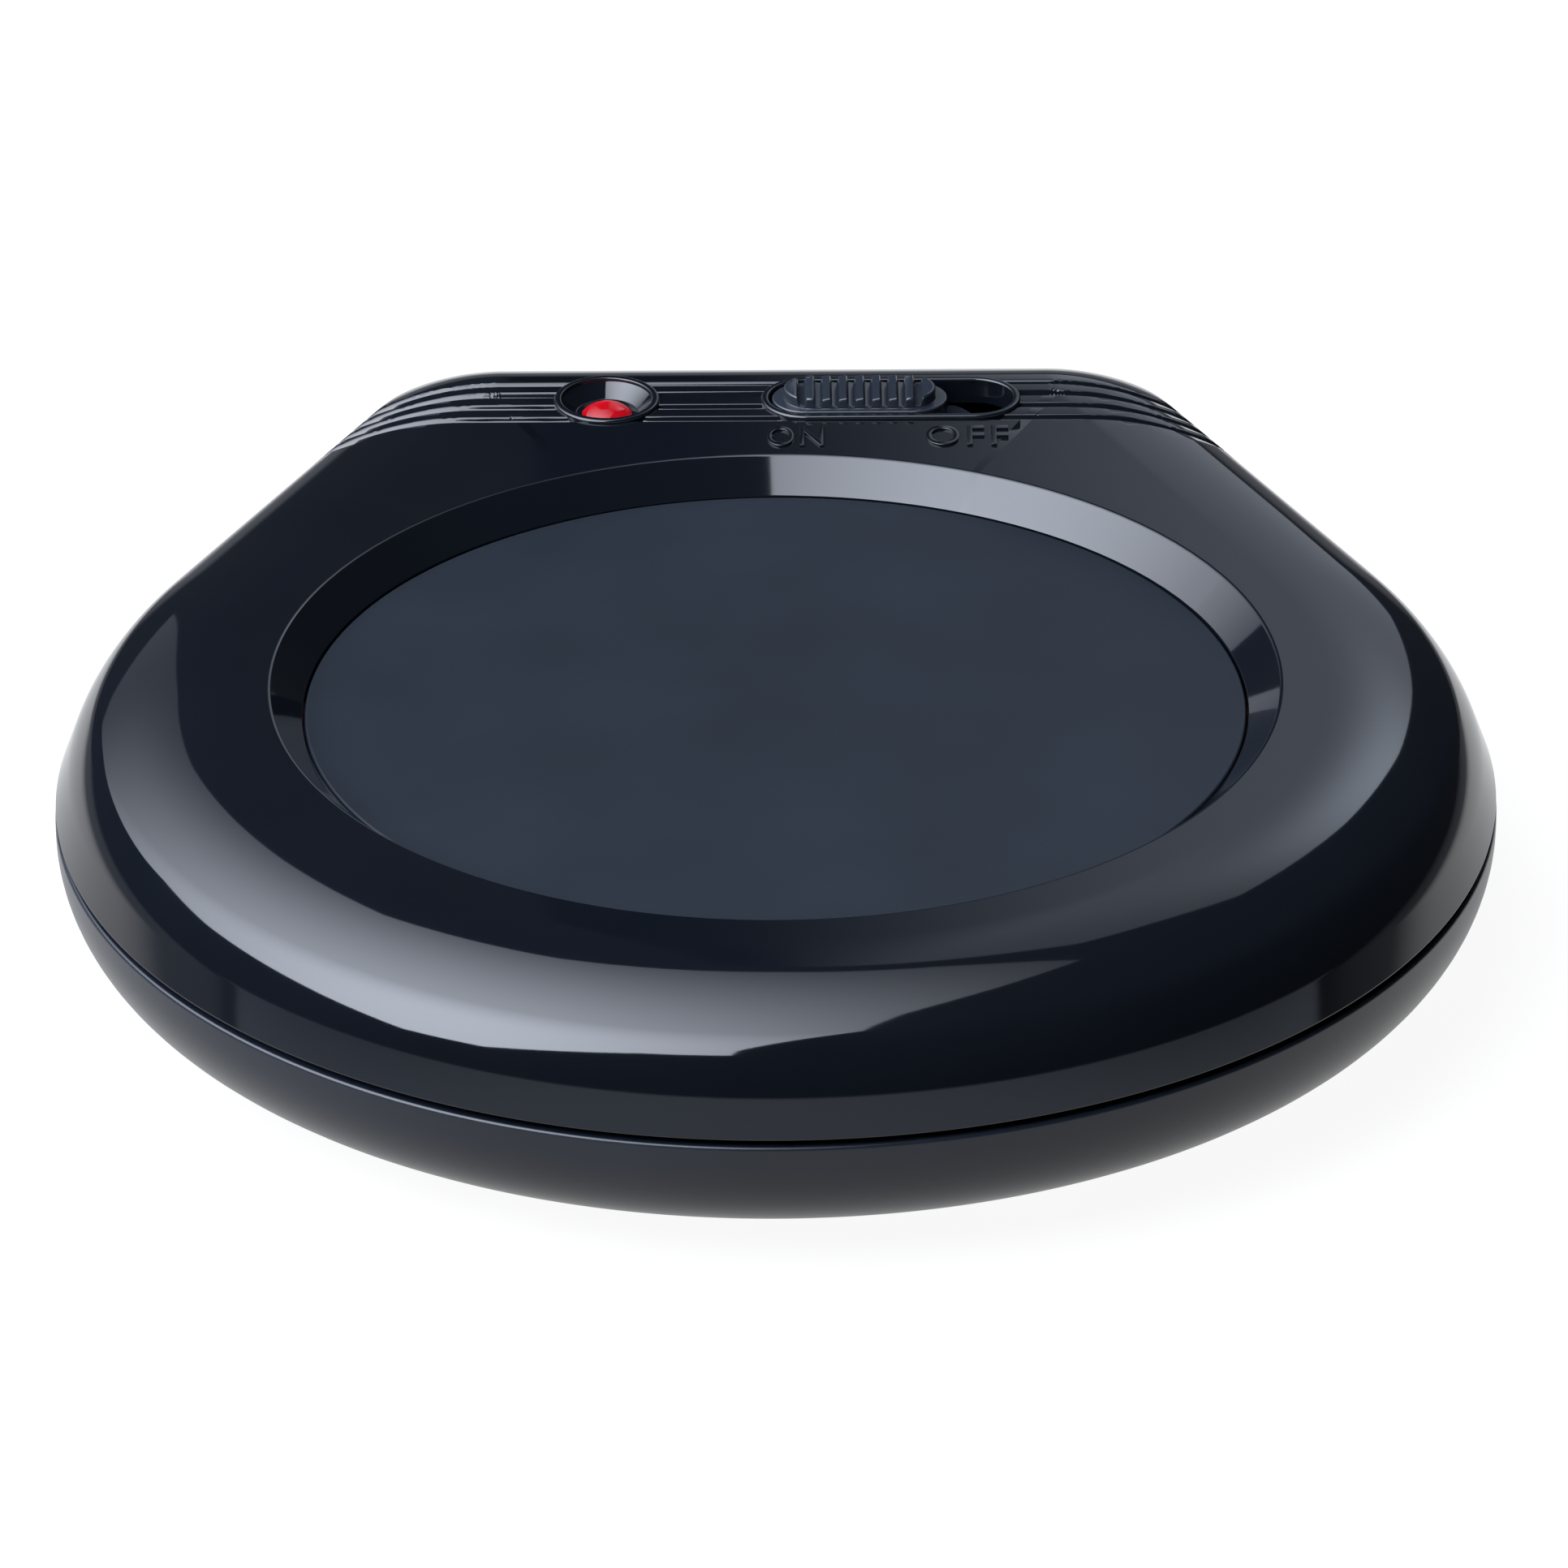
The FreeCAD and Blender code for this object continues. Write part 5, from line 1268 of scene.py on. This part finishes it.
@dataclass
class Lens:
    """The domed red lens of the indicator."""

    levels: Levels = Levels()
    centre: tuple[float, float] = (-16.1, 58.2)
    radius: float = 2.4
    dome: float = 1.0
    floor: float = 25.2
    flange: float = 3.2
    flange_sheet: float = 0.8
    steps: int = 18

    def build(self) -> None:
        """Makes and dresses the lens."""
        ball = (self.radius ** 2 + self.dome ** 2) / (2 * self.dome)
        reach = math.asin(self.radius / ball)
        under = self.levels.deck_under
        low, middle = under - self.flange_sheet, self.floor + self.dome - ball
        section = [(0.0, low), (self.flange, low), (self.flange, under), (self.radius, under)]
        for step in range(self.steps + 1):
            turn = reach * (1 - step / self.steps)
            section.append((ball * math.sin(turn), middle + ball * math.cos(turn)))
        lens = turned("red_lens", section, *self.centre, count=96)
        dress(lens, Finish.LENS, "housing", "lens", "indicator_lens")


@dataclass
class InnerParts:
    """Nodes that keep their own shape and only take a finish."""

    nodes: dict[Finish, tuple[str, ...]] = field(default_factory=lambda: {
        Finish.SEAL: ("plate_seal",),
        Finish.MICA: ("upper_mica_sheet", "lower_mica_sheet"),
        Finish.HEATER: ("heater_card",),
        Finish.WOOL: ("insulation_pad",),
        Finish.SLEEVE: ("thermal_fuse",),
        Finish.STEEL: ("clamp_plate", "fuse_strap", "switch_frame", "lamp_leads"),
        Finish.SCREW: ("clamp_screws", "strap_rivets", "switch_screws", "block_fixing_screw", "base_screws"),
        Finish.BRASS: (
            "heater_tabs", "contact_bridge", "live_contact", "switched_contact", "terminal_screws",
        ),
        Finish.NYLON: ("switch_slider", "lamp_cap", "terminal_block"),
        Finish.PHENOLIC: ("switch_housing",),
        Finish.BULB: ("neon_lamp",),
        Finish.LACQUER: ("lamp_resistor",),
        Finish.BLACK_WIRE: ("live_lead", "switched_lead", "fuse_lead", "lamp_live_lead"),
        Finish.WHITE_WIRE: ("neutral_lead", "lamp_neutral_lead"),
    })

    def dress_nodes(self) -> None:
        """Gives each inner node its finish."""
        for finish, names in self.nodes.items():
            for name in names:
                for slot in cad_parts[name].material_slots:
                    slot.link = "OBJECT"
                    slot.material = finish.material
                LOG.info("%s: %s", name, finish.value.name)


# Studio.


@dataclass(frozen=True)
class Silk:
    """A stretched sheet of light: the directions of its corners and the glow across it."""

    name: str
    distance: float
    middle: tuple[float, float]
    edge: tuple[tuple[float, float], ...]
    base: float
    hot: float
    hot_at: tuple[float, float]
    sharpness: float
    fill: float
    tint: str
    fade: tuple[float, float] = (-2.0, -1.5)

    @staticmethod
    def towards(azimuth: float, elevation: float) -> Vector:
        """A direction: azimuth from the back towards the right, then elevation, in degrees."""
        a, e = math.radians(azimuth), math.radians(elevation)
        return Vector((math.sin(a) * math.cos(e), math.cos(a) * math.cos(e), math.sin(e)))

    def glow(self) -> Material:
        """A glow that is brightest towards one direction and softer on matt faces.

        Returns:
            The material.
        """
        material, tree = new_material(self.name + "_glow")
        here = add_node(tree, "TexCoord").outputs["Object"]
        aim = add_node(tree, "VectorMath", {0: here}, operation="NORMALIZE").outputs["Vector"]
        facing = add_node(tree, "VectorMath", {
            0: aim, 1: self.towards(*self.hot_at),
        }, operation="DOT_PRODUCT")
        bright = computed(tree, "MAXIMUM", facing.outputs["Value"], 0.0)
        peak = computed(tree, "POWER", bright, self.sharpness)
        level = computed(tree, "MULTIPLY_ADD", peak, self.hot, self.base)
        across = add_node(tree, "SeparateXYZ", {0: aim}).outputs["X"]
        faded = computed(tree, "MULTIPLY", level, eased(tree, across, self.fade, (0.0, 1.0)))
        diffuse = add_node(tree, "LightPath").outputs["Is Diffuse Ray"]
        softer = computed(tree, "MULTIPLY_ADD", diffuse, self.fill - 1, 1.0)
        strength = computed(tree, "MULTIPLY", faded, softer)
        light = add_node(tree, "Emission", {
            "Color": linear(self.tint), "Strength": strength,
        })
        add_node(tree, "OutputMaterial", {"Surface": light.outputs["Emission"]})
        return material

    def build(self) -> None:
        """Stretches the sheet and lights it."""
        clear_selection()
        bpy.ops.mesh.primitive_circle_add(vertices=len(self.edge), fill_type="TRIFAN")
        sheet = bpy.context.object
        sheet.name = self.name
        rim = [v for v in sheet.data.vertices if v.co.length > 0.5]
        centre = next(v for v in sheet.data.vertices if v.co.length < 0.5)
        for vertex, corner in zip(rim, self.edge):
            vertex.co = self.towards(*corner) * self.distance
        centre.co = self.towards(*self.middle) * self.distance
        sheet.data.materials.append(self.glow())
        sheet.visible_camera = False
        sheet.visible_shadow = False


@dataclass
class Studio:
    """Camera, floor, silks and surroundings."""

    silks: tuple[Silk, ...] = (
        Silk(
            "left_silk", 0.9, (-110, 55),
            (
                (-19, 10), (-18, 26), (-21, 32), (-23, 42), (-24, 50), (-15, 56), (0, 56.5), (12, 58.5),
                (36, 62), (42, 70), (60, 80), (169, 75), (-172, 44), (-157, 41), (-146, 35), (-134, 26),
                (-121, 22), (-100, 22), (-80, 19), (-61, 17), (-36, 16), (-28, 12),
            ),
            0.3, 14.0, (-125, 36), 2.0, 0.25, "dfe6f4",
        ),
        Silk(
            "rear_silk", 0.9, (14, 28),
            (
                (-3, 2), (-3, 30), (-3, 52), (12, 55), (23, 56), (27, 53), (34, 49), (32, 38), (29, 28),
                (25, 19), (20, 8), (15, 2),
            ),
            0.7, 2.2, (30, 33), 60.0, 0.6, "d4deee", (-0.02, 0.1),
        ),
    )
    front_radius: float = 66.3
    fitted_radius: float = 66.0
    tilt: float = 0.4864707
    roll: float = -0.0054175
    distance: float = 1000.0
    focal_pixels: float = 13753.71
    aim: tuple[float, float, float] = (0.752, -20.789, 0.0)
    deck: float = 26.5
    sensor: float = 36.0
    floor_seen: float = 0.93
    floor_near: tuple[float, float] = (0.15, 0.26)
    floor_shine: tuple[float, float] = (0.75, 0.04)
    table_tilt: float = 12.0
    table_edge: tuple[float, float] = (-0.02, 0.02)
    room_levels: tuple[float, float] = (1.0, 0.04)

    def camera(self) -> None:
        """A long lens in front and above, as in the photograph."""
        scale = self.front_radius / self.fitted_radius
        forward = Vector((0, math.cos(self.tilt), -math.sin(self.tilt)))
        across = Vector((1, 0, 0))
        above = Vector((0, math.sin(self.tilt), math.cos(self.tilt)))
        right = math.cos(self.roll) * across + math.sin(self.roll) * above
        up = -math.sin(self.roll) * across + math.cos(self.roll) * above
        eye = Vector(self.aim) - self.distance * forward
        clear_selection()
        bpy.ops.object.camera_add()
        camera = bpy.context.object
        turn = Matrix((right, up, -forward)).transposed().to_4x4()
        stand = place(*(eye * scale)) + Vector((0, 0, self.deck * MM))
        camera.matrix_world = Matrix.Translation(stand) @ turn
        camera.data.sensor_width = self.sensor
        camera.data.lens = self.focal_pixels * self.sensor / FRAME_PIXELS
        camera.data.clip_start = 0.01
        camera.data.clip_end = 20.0
        bpy.context.scene.camera = camera

    def floor(self) -> None:
        """A pale floor that the camera sees as white and that reflections see only near the part."""
        clear_selection()
        bpy.ops.mesh.primitive_circle_add(vertices=96, radius=4.0, fill_type="NGON", location=(0, 0, 0))
        floor = bpy.context.object
        floor.name = "floor"
        material, tree = new_material("white_paper_sweep")
        rays = add_node(tree, "LightPath").outputs
        here = add_node(tree, "TexCoord").outputs["Object"]
        away = add_node(tree, "VectorMath", {0: here}, operation="LENGTH").outputs["Value"]
        near = eased(tree, away, self.floor_near, self.floor_shine)
        shine = computed(tree, "ADD", rays["Is Glossy Ray"], rays["Is Transmission Ray"])
        part = computed(tree, "MULTIPLY", shine, near)
        seen = computed(tree, "MULTIPLY_ADD", rays["Is Camera Ray"], self.floor_seen, part)
        glow = add_node(tree, "Emission", {"Color": linear("ffffff"), "Strength": seen})
        paper = add_node(tree, "BsdfDiffuse", {"Color": linear("606060")})
        both = add_node(tree, "AddShader", {0: glow.outputs["Emission"], 1: paper.outputs["BSDF"]})
        add_node(tree, "OutputMaterial", {"Surface": both.outputs["Shader"]})
        floor.data.materials.append(material)

    def surroundings(self) -> None:
        """A dim room over a pale table that starts below a tilted plane; white where it is looked at."""
        world = bpy.data.worlds.new("studio")
        world.use_nodes = True
        bpy.context.scene.world = world
        tree = world.node_tree
        tree.nodes.clear()
        rays = add_node(tree, "LightPath")
        aim = add_node(tree, "TexCoord").outputs["Generated"]
        tilt = math.radians(self.table_tilt)
        above = add_node(tree, "VectorMath", {
            0: aim, 1: (0.0, math.sin(tilt), math.cos(tilt)),
        }, operation="DOT_PRODUCT")
        dim = eased(tree, above.outputs["Value"], self.table_edge, self.room_levels)
        room = add_node(tree, "Background", {"Color": linear("d4deee"), "Strength": dim})
        white = add_node(tree, "Background", {"Color": linear("ffffff"), "Strength": 1.0})
        mix = add_node(tree, "MixShader", {
            0: rays.outputs["Is Camera Ray"], 1: room.outputs["Background"], 2: white.outputs["Background"],
        })
        add_node(tree, "OutputWorld", {"Surface": mix.outputs["Shader"]})

    def build(self) -> None:
        """Sets up the camera, the floor and the light."""
        self.camera()
        self.floor()
        self.surroundings()
        for silk in self.silks:
            silk.build()
        bpy.context.scene.view_settings.view_transform = "Standard"
        LOG.info("studio ready")


def main() -> None:
    """Builds the warmer's pieces in order."""
    Studio().build()
    TopCover().build()
    Base().build()
    HeatingPlate().build()
    SwitchKnob().build()
    Lens().build()
    InnerParts().dress_nodes()


if __name__ == "__main__":
    main()
